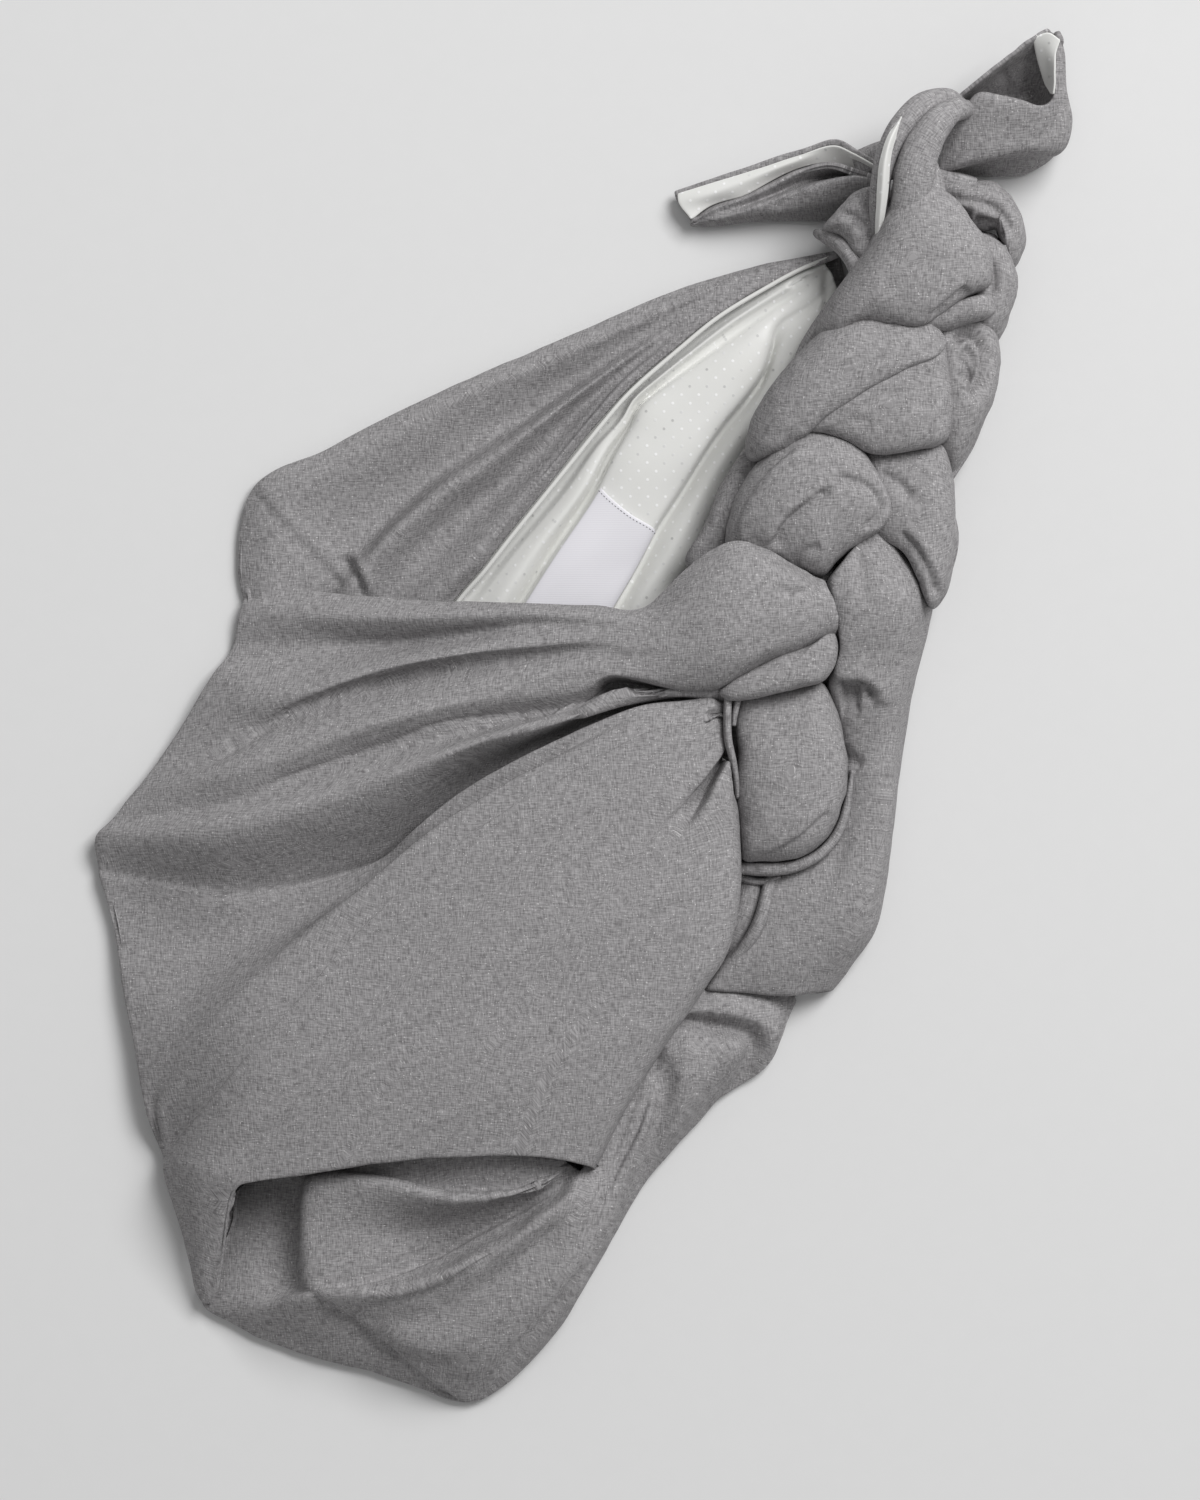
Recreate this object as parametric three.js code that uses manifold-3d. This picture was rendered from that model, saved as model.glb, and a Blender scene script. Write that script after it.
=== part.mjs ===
// A bojagi bag: one gray cloth with an off-white lining, wrapped into a pouch that lies on its back,
// its three ties plaited along the right side of the mouth and knotted at the top.
// Millimetres, +Z up, origin on the floor under the middle of the bag's outline.
import * as THREE from 'three';
import { ConvexGeometry } from 'three/addons/geometries/ConvexGeometry.js';
import { mergeVertices } from 'three/addons/utils/BufferGeometryUtils.js';
import Module from 'manifold-3d';

const wasm = await Module();
wasm.setup();

// Driving dimensions
const CLOTH = 2.2; // doubled outer cloth
const BACK = 2.6; // the back, pressed flat on the floor
const SATIN = 1.2; // lining
const LINING_LIFT = 0.4; // above its table
const LABEL = 0.8; // woven label
const GAP = 0.35; // between neighbouring pieces
const MERGE = 0.02; // edges shorter than this go after a cut
const CRUMB = 0.001; // points nearer than this are one
const PINCH = 0.15; // opened round an edge where a cut body only touches itself
const FLOOR_TURN = { inset: 5, height: CLOTH + 0.1 }; // where an edge rolls under into the back

// Colours and finish
const GRAY_CLOTH = { color: 0x918f90, roughness: 0.95, metalness: 0 };
const WHITE_SATIN = { color: 0xe6e6e2, roughness: 0.5, metalness: 0 };
const LABEL_SATIN = { color: 0xe6e4ea, roughness: 0.45, metalness: 0 };

// Each table row is one fold line: its crest or trough as [x, y, z] points, from the open edge of
// the cloth to where it is gathered. tuck is where the cloth goes past the open edge: back down
// to the floor unless the row says otherwise.

// Front: the pleats fan out from the plait to the left, then the smooth panel comes down over them.
const FRONT_FOLDS = [
  { fold: 'lip', line: [[-138, 58, 3], [-72, 51, 24], [4, 46, 42], [29, 41, 48], [44, 63, 50], [66, 71, 54], [98, 59, 50]] },
  { fold: 'lip roll', line: [[-139, 46, 6], [-72, 44, 32], [4, 41, 50], [32, 37, 57], [50, 55, 62], [74, 61, 66], [101, 53, 56]] },
  { fold: 'first trough', line: [[-141, 31, 4], [-112, 32, 12], [-72, 34, 22], [-32, 41, 36], [34, 36, 60], [54, 48, 68], [102, 48, 60]] },
  { fold: 'second pleat', line: [[-149, 21, 8], [-120, 12, 28], [-72, 24, 40], [4, 33, 54], [35, 32, 62], [57, 42, 70], [102, 43, 61]] },
  { fold: 'second trough', line: [[-169, -13, 6], [-127, -1, 24], [-72, 19, 32], [4, 28, 53], [35, 28, 61], [58, 36, 69], [103, 38, 60]] },
  { fold: 'third pleat', line: [[-183, -29, 8], [-134, -17, 34], [-80, 1, 46], [4, 20, 56], [34, 23, 58], [59, 29, 64], [103, 33, 56]] },
  { fold: 'plait base', line: [[-187, -35, 8], [-135, -24, 33], [-78, -5, 42], [4, 12, 48], [24, 15, 44], [64, 14, 50], [102, 28, 48]] },
  { fold: 'third trough', line: [[-190, -39, 8], [-136, -30, 31], [-76, -9, 37], [4, 10, 45], [24, 13, 40], [50, 10, 40]] },
  { fold: 'fourth pleat', line: [[-195, -45, 8], [-146, -43, 34], [-88, -26, 46], [4, 5, 56], [26, 9, 53], [50, 9, 49]] },
  { fold: 'deep trough', line: [[-194, -57, 6], [-142, -65, 20], [-79, -50, 16], [-44, -23, 22], [-8, -4, 36], [24, 8, 45], [50, 8, 45]] },
  { fold: 'hollow', line: [[-189, -82, 8], [-136, -80, 25], [-78, -55, 20], [-43, -27, 30], [-7, -7, 42], [24, 7, 49], [50, 7.5, 48]] },
  { fold: 'panel crest', line: [[-173, -155, 14], [-146, -118, 32], [-86, -59, 44], [-44, -31, 50], [-8, -11, 54], [24, 4, 54], [50, 7, 50]] },
  { fold: 'left shoulder', line: [[-168, -172, 6], [-136, -136, 38], [-82, -76, 48], [-42, -42, 53], [-6, -20, 56], [25, 0, 55], [51, 6, 50]], tuck: [-159, -219, 3] },
  { fold: 'left strip', line: [[-156, -178, 30], [-122, -140, 44], [-76, -88, 51], [-36, -54, 56], [0, -26, 57], [28, -5, 55], [51, 5.5, 50]], tuck: [-153, -225, 16] },
  { fold: 'strip edge', line: [[-140, -183, 36], [-112, -146, 46], [-72, -102, 52], [-32, -62, 56], [4, -30, 57], [30, -8, 55], [51, 5, 50]], tuck: [-149, -226, 10] },
  { fold: 'panel corner', line: [[-134, -184, 36], [-106, -148, 47], [-68, -104, 53], [-28, -63, 57], [7, -31, 57], [31, -9, 54], [51.5, 4.5, 49]], tuck: [-137, -178, 26] },
  { fold: 'panel left', line: [[-112, -180, 42], [-88, -142, 51], [-56, -106, 55], [-20, -66, 58], [12, -34, 57], [34, -12, 54], [52, 4, 49]], tuck: [-112, -173, 30] },
  { fold: 'panel middle left', line: [[-80, -175, 46], [-60, -138, 54], [-32, -102, 57], [-4, -66, 58], [24, -36, 56], [40, -16, 52], [52, 2, 48]], tuck: [-80, -168, 33] },
  { fold: 'panel middle right', line: [[-44, -172, 48], [-30, -138, 55], [-8, -102, 57], [14, -68, 57], [34, -40, 54], [45, -20, 51], [53, 1, 47]], tuck: [-44, -165, 35] },
  { fold: 'panel right', line: [[-16, -173, 46], [-4, -140, 52], [16, -104, 54], [34, -70, 54], [46, -44, 51], [50, -24, 49], [54, 0, 46]], tuck: [-16, -166, 34] },
  { fold: 'right border', line: [[6, -174, 40], [21, -144, 46], [43, -106, 48], [55, -78, 48], [63, -50, 46], [63, -28, 44], [56, -4, 43]], tuck: [4, -167, 30] },
  { fold: 'right turn', line: [[9, -178, 14], [25, -147, 16], [47, -109, 17], [60, -80, 18], [67, -52, 18], [66, -29, 20], [58, -6, 24]], tuck: [7, -172, 10] },
];

// Band: the back cloth turned over to the front along the top left, from its fold to the mouth's rim.
const BAND_FOLDS = [
  { fold: 'outer fold', line: [[-138, 60, 3], [-131, 95, 4], [-100, 112, 5], [-72, 127, 5], [-16, 152, 5], [44, 177, 5], [72, 185, 6], [106, 191, 9]] },
  { fold: 'first roll', line: [[-127, 54, 6], [-122, 88, 11], [-96, 102, 13], [-58, 123, 14], [-18, 144, 15], [26, 163.5, 15], [67, 180, 14], [104, 190, 14]] },
  { fold: 'shallow trough', line: [[-112, 46, 5], [-104, 70, 6], [-80, 86, 8], [-54, 108, 9], [-16, 133, 9], [26, 157.5, 10], [64, 175.5, 11], [104, 189.4, 12]] },
  { fold: 'second roll', line: [[-92, 38, 6], [-80, 54, 8], [-58, 74, 12], [-28, 104, 15], [0, 129, 15], [34, 155, 16], [66, 173, 16], [104.5, 188.6, 16]] },
  { fold: 'rim', line: [[-62, 36, 10], [-48.5, 53, 12], [-29, 76.5, 14], [4, 117, 15], [38.6, 150.6, 15], [78, 176.5, 15], [105, 187, 14]] },
];

// Bottom corner: folded in on itself below the panel, fanning out from the panel's lower right.
const CORNER_FOLDS = [
  { fold: 'under the panel', line: [[-141, -190, 3], [-127, -179, 6], [-104, -174, 16], [-72, -174, 20], [-36, -176, 24], [-2, -177, 34]] },
  { fold: 'flap crest', line: [[-142, -199, 4], [-127, -188, 7], [-113, -184, 12], [-107, -181, 30], [-67, -185, 38], [-37, -184, 40], [-1, -179, 38]] },
  { fold: 'flap hollow', line: [[-146, -215, 4], [-130, -207, 9], [-114, -204, 14], [-110, -203, 29], [-62, -202, 24], [-28, -189, 32], [0, -180, 37]] },
  { fold: 'flap border', line: [[-151, -232, 4], [-132, -229, 13], [-114, -225, 18], [-107, -224, 27], [-56, -213, 24], [-29, -198, 29], [0, -181, 35]] },
  { fold: 'bright roll', line: [[-143, -240, 4], [-127, -237, 14], [-110, -228, 27], [-72, -226, 37], [-50, -217, 41], [-23, -202, 43], [2, -182, 42]] },
  { fold: 'soft trough', line: [[-124, -249, 4], [-104, -244, 14], [-93, -236, 22], [-72, -237, 28], [-44, -226, 33], [-16, -206, 36], [5, -183, 38]] },
  { fold: 'diagonal crease', line: [[-102, -256, 4], [-90, -254, 10], [-78, -248, 17], [-60, -250, 26], [-32, -234, 32], [-8, -210, 35], [7, -182, 37]] },
  { fold: 'toward the tip', line: [[-70, -265, 4], [-60, -262, 12], [-44, -258, 20], [-20, -238, 28], [-1, -212, 33], [10, -180, 36]] },
  { fold: 'tip', line: [[-43, -273, 4], [-32, -260, 14], [-12, -234, 24], [4, -210, 31], [12, -177, 36]] },
  { fold: 'right of the tip', line: [[-12, -248, 4], [0, -226, 22], [10, -202, 31], [16, -171, 35]] },
  { fold: 'lower side', line: [[0, -230, 4], [10, -206, 22], [18, -182, 31], [24, -158, 34]] },
  { fold: 'side strip', line: [[10, -212, 4], [20, -186, 20], [27, -162, 31], [32, -140, 33]] },
  { fold: 'strip crease', line: [[20, -194, 4], [27, -176, 14], [32, -154, 23], [35, -132, 27]] },
  { fold: 'third lobe left', line: [[30, -180, 4], [37, -164, 18], [40, -146, 27], [38, -128, 29]] },
  { fold: 'third lobe right', line: [[46, -162, 4], [50, -152, 14], [54, -136, 25], [44, -125, 28]] },
  { fold: 'third lobe top', line: [[60, -144, 4], [66, -132, 15], [62, -126, 23], [48, -124, 26]] },
  { fold: 'dark fold', line: [[67, -141, 3], [70, -129, 8], [63, -122, 10], [48, -121, 14]] },
  { fold: 'second lobe', line: [[74, -136, 4], [77, -122, 14], [66, -115, 20], [48, -114, 22]] },
  { fold: 'second lobe top', line: [[84, -116, 4], [80, -110, 12], [66, -107, 14], [48, -105, 15]] },
];

// Right flap: opens out from under the plait and falls to the floor along the right side.
const FLAP_FOLDS = [
  { fold: 'outline', line: [[109, -101, 5], [118, -89, 5], [122, -66, 5], [128, -18, 5], [133, 10, 5], [140, 38, 6], [142, 54, 8], [134, 71, 14]] },
  { fold: 'outer roll', line: [[101, -106, 5], [108, -88, 18], [115, -66, 24], [121, -38, 26], [126, -6, 27], [133, 26, 30], [137, 54, 34], [126, 74, 34]] },
  { fold: 'middle', line: [[88, -109, 8], [96, -90, 22], [105, -68, 27], [113, -38, 28], [118, -8, 32], [123, 22, 42], [128, 50, 50], [121, 76, 42]] },
  { fold: 'inner roll', line: [[73, -108, 12], [86, -84, 26], [98, -62, 24], [107, -34, 23], [110, -4, 30], [112, 24, 48], [116, 50, 57], [116, 76, 44]] },
  { fold: 'inner trough', line: [[59, -106, 13], [77, -80, 21], [92, -56, 14], [106, -26, 11], [106, 2, 18], [103, 26, 42], [105, 50, 52], [112, 75, 42]] },
  { fold: 'inner edge', line: [[50, -100, 11], [71, -76, 8], [86, -54, 6], [102, -26, 6], [103, 4, 9], [100, 26, 26], [100, 50, 34], [108, 72, 34]] },
];

// Lining: satin folds fan out from the knot over the inside of the back and run in under the front.
const LINING_FOLDS = [
  { fold: 'under the band', line: [[-74, 35, 4], [-56, 57, 4], [-27, 94, 4], [-4, 122, 4], [26, 149, 5], [60, 172, 6], [94, 186, 7]] },
  { fold: 'rim strip', line: [[-52, 34, 7], [-30, 62, 8], [-4, 94, 8], [18, 120, 8], [44, 145, 9], [72, 165, 10], [98, 182, 10]] },
  { fold: 'left trough', line: [[-36, 34, 5], [-8, 78, 5], [13, 110, 5], [24, 129, 5], [49, 149, 6], [75, 161, 8], [100, 178, 8]] },
  { fold: 'wide fold left', line: [[-27, 36, 10], [-10, 68, 11], [12, 104, 12], [28, 125, 12], [52, 145, 12], [78, 158, 12], [102, 176, 12]] },
  { fold: 'wide fold', line: [[-8, 30, 11], [4, 54, 12], [24, 86, 13], [40, 110, 14], [58, 132, 15], [80, 152, 15], [102, 174, 14]] },
  { fold: 'wide fold right', line: [[8, 28, 12], [16, 50, 13], [32, 76, 14], [48, 100, 15], [63, 124, 16], [80, 144, 16], [103, 172, 14]] },
  { fold: 'dark crease', line: [[18, 26, 6], [24, 50, 6], [35, 72, 6], [51, 96, 6], [65, 120, 6], [79, 139, 8], [104, 170, 10]] },
  { fold: 'right fold', line: [[28, 24, 9], [33, 46, 10], [44, 70, 11], [58, 94, 12], [72, 118, 13], [86, 138, 13], [104, 170, 12]] },
  { fold: 'under the plait', line: [[44, 22, 4], [48, 44, 4], [56, 68, 4], [68, 90, 4], [84, 114, 4], [96, 138, 4], [106, 168, 6]] },
];
// The label lies on the wide fold of the lining: its place along and across the lining's folds.
const LABEL_PLACE = { along: [0.06, 0.35], across: [0.365, 0.575] };

// Plaited ties. Each row is one section: its middle, width, thickness, and cup, how far the section
// is hollowed like a trough. up is the side that faces out, +Z unless the row says otherwise.
const TIES = {
  tie_left: [
    { at: [48, 30, 38], width: 36, thick: 12 },
    { at: [80, 42, 40], width: 36, thick: 14 },
    { at: [106, 52, 27], width: 34, thick: 16 },
    { at: [130, 60, 20], width: 34, thick: 18 },
    { at: [143, 74, 32], width: 36, thick: 22 },
    { at: [131, 88, 50], width: 40, thick: 26 },
    { at: [116, 104, 44], width: 36, thick: 22 },
    { at: [98, 120, 24], width: 34, thick: 18 },
    { at: [95, 140, 17], width: 34, thick: 16 },
    { at: [108, 160, 30], width: 40, thick: 22 },
    { at: [130, 184, 50], width: 50, thick: 28 },
    { at: [138, 206, 53], width: 40, thick: 24 },
    { at: [134, 226, 50], width: 28, thick: 16 },
    { at: [137, 243, 42], width: 24, thick: 11 },
    { at: [137, 251, 31], width: 22, thick: 9, up: [0, 1, 0.3] },
    { at: [129, 243, 19], width: 20, thick: 8, up: [0, 0.6, -1] },
    { at: [117, 229, 15], width: 20, thick: 7, up: [0, 0, -1] },
    { at: [94, 219, 16], width: 26, thick: 5, up: [0, 0, -1] },
    { at: [68, 216, 13], width: 26, thick: 4, up: [0, 0, -1] },
    { at: [42, 209, 8], width: 19, thick: 4, up: [0, 0, -1] },
  ],
  tie_right: [
    { at: [115, 52, 32], width: 26, thick: 12 },
    { at: [113, 72, 28], width: 30, thick: 16 },
    { at: [100, 90, 19], width: 34, thick: 16 },
    { at: [82, 102, 17], width: 36, thick: 18 },
    { at: [78, 118, 29], width: 40, thick: 22 },
    { at: [106, 134, 50], width: 50, thick: 28 },
    { at: [131, 149, 43], width: 42, thick: 20 },
    { at: [150, 158, 15], width: 28, thick: 14 },
    { at: [166, 174, 24], width: 28, thick: 20 },
    { at: [165, 192, 28], width: 24, thick: 18 },
    { at: [151, 205, 18], width: 20, thick: 10 },
    { at: [161, 210, 19], width: 22, thick: 7 },
    { at: [173, 204, 20], width: 22, thick: 5, up: [1, 0.4, 0.8] },
    { at: [174, 188, 14], width: 20, thick: 4, up: [1, 0, 0.4] },
  ],
  tie_middle: [
    { at: [72, -56, 18], width: 36, thick: 14 },
    { at: [84, -30, 31], width: 46, thick: 26 },
    { at: [87, -6, 33], width: 42, thick: 26 },
    { at: [86, 12, 26], width: 38, thick: 18 },
    { at: [82, 36, 16], width: 34, thick: 14 },
    { at: [70, 58, 17], width: 34, thick: 16 },
    { at: [70, 74, 31], width: 40, thick: 22 },
    { at: [88, 90, 50], width: 50, thick: 28 },
    { at: [114, 90, 44], width: 34, thick: 22 },
    { at: [130, 98, 23], width: 32, thick: 16 },
    { at: [145, 114, 17], width: 32, thick: 18 },
    { at: [156, 130, 32], width: 34, thick: 24 },
    { at: [156, 147, 40], width: 36, thick: 22 },
    { at: [144, 168, 26], width: 28, thick: 14 },
    { at: [139, 192, 15], width: 26, thick: 13 },
    { at: [147, 221, 26], width: 26, thick: 9, cup: 2 },
    { at: [166, 238, 36], width: 34, thick: 4, cup: 9 },
    { at: [188, 253, 38], width: 40, thick: 3, cup: 10 },
  ],
};

// Resolution of the faceted sheets and ties
const STEPS = { front: [20, 2], band: [16, 2], corner: [12, 2], flap: [14, 2], lining: [14, 2] };
const TIE_STEPS = 3; // between two sections
const TIE_SIDES = 10;

const vec = (point) => new THREE.Vector3(...point);

// A smooth line through a row's points, with its tuck in front.
function foldLine(row, steps, tucked) {
  const line = new THREE.CatmullRomCurve3(row.line.map(vec)).getSpacedPoints(steps);
  if (!tucked) return line;
  const inward = new THREE.Vector3().subVectors(line[1], line[0]).setZ(0).setLength(FLOOR_TURN.inset);
  const tuck = row.tuck ? vec(row.tuck) : line[0].clone().add(inward).setZ(FLOOR_TURN.height);
  return [tuck, tuck.clone().lerp(line[0], 0.5), ...line];
}

// A grid of points over a table of fold lines, smooth across the folds too.
function foldSurface(rows, [steps, between], tucked = true) {
  const lines = rows.map((row) => foldLine(row, steps, tucked));
  const across = (rows.length - 1) * between;
  const columns = lines[0].map((_, i) => new THREE.CatmullRomCurve3(lines.map((line) => line[i])));
  const grid = [];
  for (let j = 0; j <= across; j += 1) grid.push(columns.map((column) => column.getPoint(j / across)));
  return grid;
}

function surfaceNormal(grid, j, i) {
  const along = new THREE.Vector3().subVectors(
    grid[j][Math.min(i + 1, grid[j].length - 1)], grid[j][Math.max(i - 1, 0)]);
  const across = new THREE.Vector3().subVectors(
    grid[Math.min(j + 1, grid.length - 1)][i], grid[Math.max(j - 1, 0)][i]);
  const normal = new THREE.Vector3().crossVectors(along, across);
  return normal.length() < 0.5 ? new THREE.Vector3() : normal.normalize();
}

function toGeometry(points, triangles) {
  const geometry = new THREE.BufferGeometry();
  geometry.setAttribute('position', new THREE.Float32BufferAttribute(points.flatMap((p) => p.toArray()), 3));
  geometry.setIndex(triangles.flat());
  return geometry;
}

function toSolid(geometry) {
  const solid = new wasm.Manifold(new wasm.Mesh({
    numProp: 3,
    vertProperties: Float32Array.from(geometry.getAttribute('position').array),
    triVerts: Uint32Array.from(geometry.index.array),
  }));
  return solid;
}

// A closed sheet: the grid on top, the same grid moved down its normals below, and a rim around.
function sheetSolid(grid, thickness, lift = 0) {
  const rows = grid.length;
  const cols = grid[0].length;
  const points = grid.flat();
  const normals = grid.flatMap((line, j) => line.map((_, i) => surfaceNormal(grid, j, i)));
  const facing = Math.sign(normals.reduce((sum, normal) => sum + normal.z, 0));
  const tops = points.map((p, k) => p.clone().addScaledVector(normals[k], facing * lift));
  const bottoms = points.map((p, k) => p.clone().addScaledVector(normals[k], facing * (lift - thickness)));
  const shift = tops.length;
  const at = (j, i) => j * cols + i;
  const triangles = [];
  for (let j = 0; j < rows - 1; j += 1) {
    for (let i = 0; i < cols - 1; i += 1) {
      const [a, b, c, d] = [at(j, i), at(j, i + 1), at(j + 1, i + 1), at(j + 1, i)];
      triangles.push([a, b, c], [a, c, d], [shift + a, shift + c, shift + b], [shift + a, shift + d, shift + c]);
    }
  }
  const rim = [];
  for (let i = 0; i < cols - 1; i += 1) rim.push([at(0, i), at(0, i + 1)]);
  for (let j = 0; j < rows - 1; j += 1) rim.push([at(j, cols - 1), at(j + 1, cols - 1)]);
  for (let i = cols - 1; i > 0; i -= 1) rim.push([at(rows - 1, i), at(rows - 1, i - 1)]);
  for (let j = rows - 1; j > 0; j -= 1) rim.push([at(j, 0), at(j - 1, 0)]);
  for (const [p, q] of rim) triangles.push([p, shift + p, q], [q, shift + p, shift + q]);
  return outward(toSolid(toGeometry([...tops, ...bottoms], triangles)));
}

// Turns a solid that came out inside out.
function outward(solid) {
  if (solid.volume() > 0) return solid;
  const mesh = solid.getMesh();
  const flipped = mesh.triVerts.slice();
  for (let t = 0; t < flipped.length; t += 3) [flipped[t + 1], flipped[t + 2]] = [flipped[t + 2], flipped[t + 1]];
  return new wasm.Manifold(new wasm.Mesh({ numProp: 3, vertProperties: mesh.vertProperties, triVerts: flipped }));
}

// A tie: rounded sections along a smooth path, flat or hollowed where it opens into its free end.
function tieSolid(stations, grow = 0) {
  const path = new THREE.CatmullRomCurve3(stations.map((s) => vec(s.at)));
  const last = stations.length - 1;
  const count = last * TIE_STEPS;
  const blend = (t, key, fallback) => {
    const k = Math.min(Math.floor(t * last), last - 1);
    const f = THREE.MathUtils.smoothstep(t * last - k, 0, 1);
    const [a, b] = [stations[k][key] ?? fallback, stations[k + 1][key] ?? fallback];
    return Array.isArray(a) ? vec(a).lerp(vec(b), f) : THREE.MathUtils.lerp(a, b, f);
  };
  const points = [];
  for (let n = 0; n <= count; n += 1) {
    const t = n / count;
    const tangent = path.getTangent(t);
    const reach = n === 0 ? -grow : n === count ? grow : 0;
    const middle = path.getPoint(t).addScaledVector(tangent, reach);
    const side = new THREE.Vector3().crossVectors(tangent, blend(t, 'up', [0, 0, 1])).normalize();
    const up = new THREE.Vector3().crossVectors(side, tangent).normalize();
    const half = blend(t, 'width', 0) / 2 + grow;
    const depth = blend(t, 'thick', 0) / 2 + grow;
    const cup = blend(t, 'cup', 0);
    for (let s = 0; s < TIE_SIDES; s += 1) {
      const angle = (2 * Math.PI * s) / TIE_SIDES;
      const x = Math.sign(Math.cos(angle)) * Math.abs(Math.cos(angle)) ** 0.8;
      const y = Math.sign(Math.sin(angle)) * Math.abs(Math.sin(angle)) ** 0.8;
      points.push(middle.clone()
        .addScaledVector(side, x * half)
        .addScaledVector(up, y * depth + cup * (x * x - 0.5)));
    }
  }
  const lengths = [];
  for (let n = 0; n < count; n += 1) {
    const sections = points.slice(n * TIE_SIDES, (n + 2) * TIE_SIDES);
    const open = blend((n + 0.5) / count, 'cup', 0) > 0;
    lengths.push(open ? hollowLength(sections) : roundLength(sections));
  }
  return lengths.reduce((sum, length) => sum.add(length));
}

function roundLength(sections) {
  const hull = new ConvexGeometry(sections);
  hull.deleteAttribute('normal');
  return toSolid(mergeVertices(hull, CRUMB));
}

// The stretch of a hollowed tie between two neighbouring sections, in strips from side to side.
function hollowLength(sections) {
  const strips = [];
  for (let s = 0; s < TIE_SIDES / 2; s += 1) {
    const ring = [s, s + 1, TIE_SIDES - s - 1, (TIE_SIDES - s) % TIE_SIDES];
    strips.push(roundLength(ring.flatMap((k) => [sections[k], sections[k + TIE_SIDES]])));
  }
  return strips.reduce((sum, strip) => sum.add(strip));
}

function plainGeometry(solid) {
  const { vertProperties, triVerts } = solid.getMesh();
  const geometry = new THREE.BufferGeometry();
  geometry.setAttribute('position', new THREE.BufferAttribute(vertProperties, 3));
  geometry.setIndex(new THREE.BufferAttribute(triVerts, 1));
  return geometry;
}

// Edges where a cut body only touches itself: more than two faces meet there.
function pinches(geometry) {
  const position = geometry.getAttribute('position');
  const corners = [...geometry.index.array];
  const ends = new Map();
  corners.forEach((corner, k) => {
    const next = corners[k % 3 === 2 ? k - 2 : k + 1];
    const edge = [corner, next].map((v) => new THREE.Vector3().fromBufferAttribute(position, v));
    const key = edge.map((p) => p.toArray().map((x) => x.toFixed(4)).join()).sort().join('|');
    ends.set(key, [...(ends.get(key) ?? []), edge]);
  });
  return [...ends.values()].filter((faces) => faces.length > 2).map((faces) => faces[0]);
}

// Opens each pinch by a hair along its edge.
function opened(body) {
  const offsets = [-PINCH, PINCH].flatMap((x) => [-PINCH, PINCH].flatMap((y) => [-PINCH, PINCH].map((z) => [x, y, z])));
  return pinches(plainGeometry(body)).reduce((left, edge) => left.subtract(
    roundLength(edge.flatMap((end) => offsets.map((offset) => end.clone().add(vec(offset)))))), body);
}

// The largest connected body of a cut or joined solid, without crumbs that hang on by a point.
function mainBody(solid) {
  const largest = (whole) => whole.decompose().sort((a, b) => b.volume() - a.volume())[0];
  const merged = (whole) => largest(toSolid(mergeVertices(plainGeometry(whole), CRUMB)).simplify(MERGE));
  let body = largest(solid.simplify(MERGE));
  for (let pass = 0; pass < 3; pass += 1) body = merged(body);
  for (let pass = 0; pass < 4 && pinches(plainGeometry(body)).length > 0; pass += 1) body = merged(opened(body));
  return body;
}

function named(name, solid, finish) {
  const geometry = plainGeometry(solid);
  geometry.computeVertexNormals();
  const mesh = new THREE.Mesh(geometry, new THREE.MeshStandardMaterial(finish));
  mesh.name = name;
  return mesh;
}

// The back is pressed flat on the floor inside the outline that the folds reach.
function backSolid() {
  const edge = (rows) => rows.map((row) => row.line[0]);
  const band = BAND_FOLDS[0].line.slice(1).reverse();
  const left = edge(FRONT_FOLDS.slice(0, 13));
  const bottom = edge(CORNER_FOLDS.slice(3));
  const right = FLAP_FOLDS[0].line;
  const outline = [...band, ...left, ...bottom, ...right].map(([x, y]) => new THREE.Vector2(x, y));
  const middle = new THREE.Vector2(0, -20);
  const inset = outline.map((p) => p.clone().add(middle.clone().sub(p).setLength(3)));
  const slab = new THREE.ExtrudeGeometry(new THREE.Shape(inset), { depth: BACK, bevelEnabled: false });
  slab.deleteAttribute('normal');
  slab.deleteAttribute('uv');
  return slab;
}

// A first row on the floor, where the fold along the outline meets the back.
function withFloorRow(rows) {
  const floor = rows[0].line.map((point, i) => {
    const inward = new THREE.Vector3().subVectors(vec(rows[1].line[i]), vec(point)).setZ(0);
    return vec(point).add(inward.setLength(FLOOR_TURN.inset)).setZ(FLOOR_TURN.height).toArray();
  });
  return [{ fold: 'floor', line: floor }, ...rows];
}

// The outer cloth is one piece: its back, front, band, corner and flap run into each other.
function outerCloth(thickness, lift = 0) {
  return [
    sheetSolid(foldSurface(FRONT_FOLDS, STEPS.front), thickness, lift),
    sheetSolid(foldSurface(withFloorRow(BAND_FOLDS), STEPS.band, false), thickness, lift),
    sheetSolid(foldSurface(CORNER_FOLDS, STEPS.corner), thickness, lift),
    sheetSolid(foldSurface(withFloorRow(FLAP_FOLDS), STEPS.flap), thickness, lift),
  ].reduce((sum, sheet) => sum.add(sheet));
}

const liningGrid = foldSurface(LINING_FOLDS, STEPS.lining, false);
const labelRange = ([from, to], count) => [Math.round(from * (count - 1)), Math.round(to * (count - 1)) + 1];
const labelGrid = liningGrid
  .slice(...labelRange(LABEL_PLACE.across, liningGrid.length))
  .map((line) => line.slice(...labelRange(LABEL_PLACE.along, line.length)));
const tieNames = Object.keys(TIES);
const tiesGrown = tieNames.map((name) => tieSolid(TIES[name], GAP));
const allTiesGrown = tiesGrown.reduce((sum, tie) => sum.add(tie));
const outerGrown = outerCloth(CLOTH + 2 * GAP, GAP);

const bag = new THREE.Group();

const outer = outerCloth(CLOTH).add(toSolid(mergeVertices(backSolid()))).subtract(allTiesGrown);
bag.add(named('outer_cloth', mainBody(outer), GRAY_CLOTH));

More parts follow.
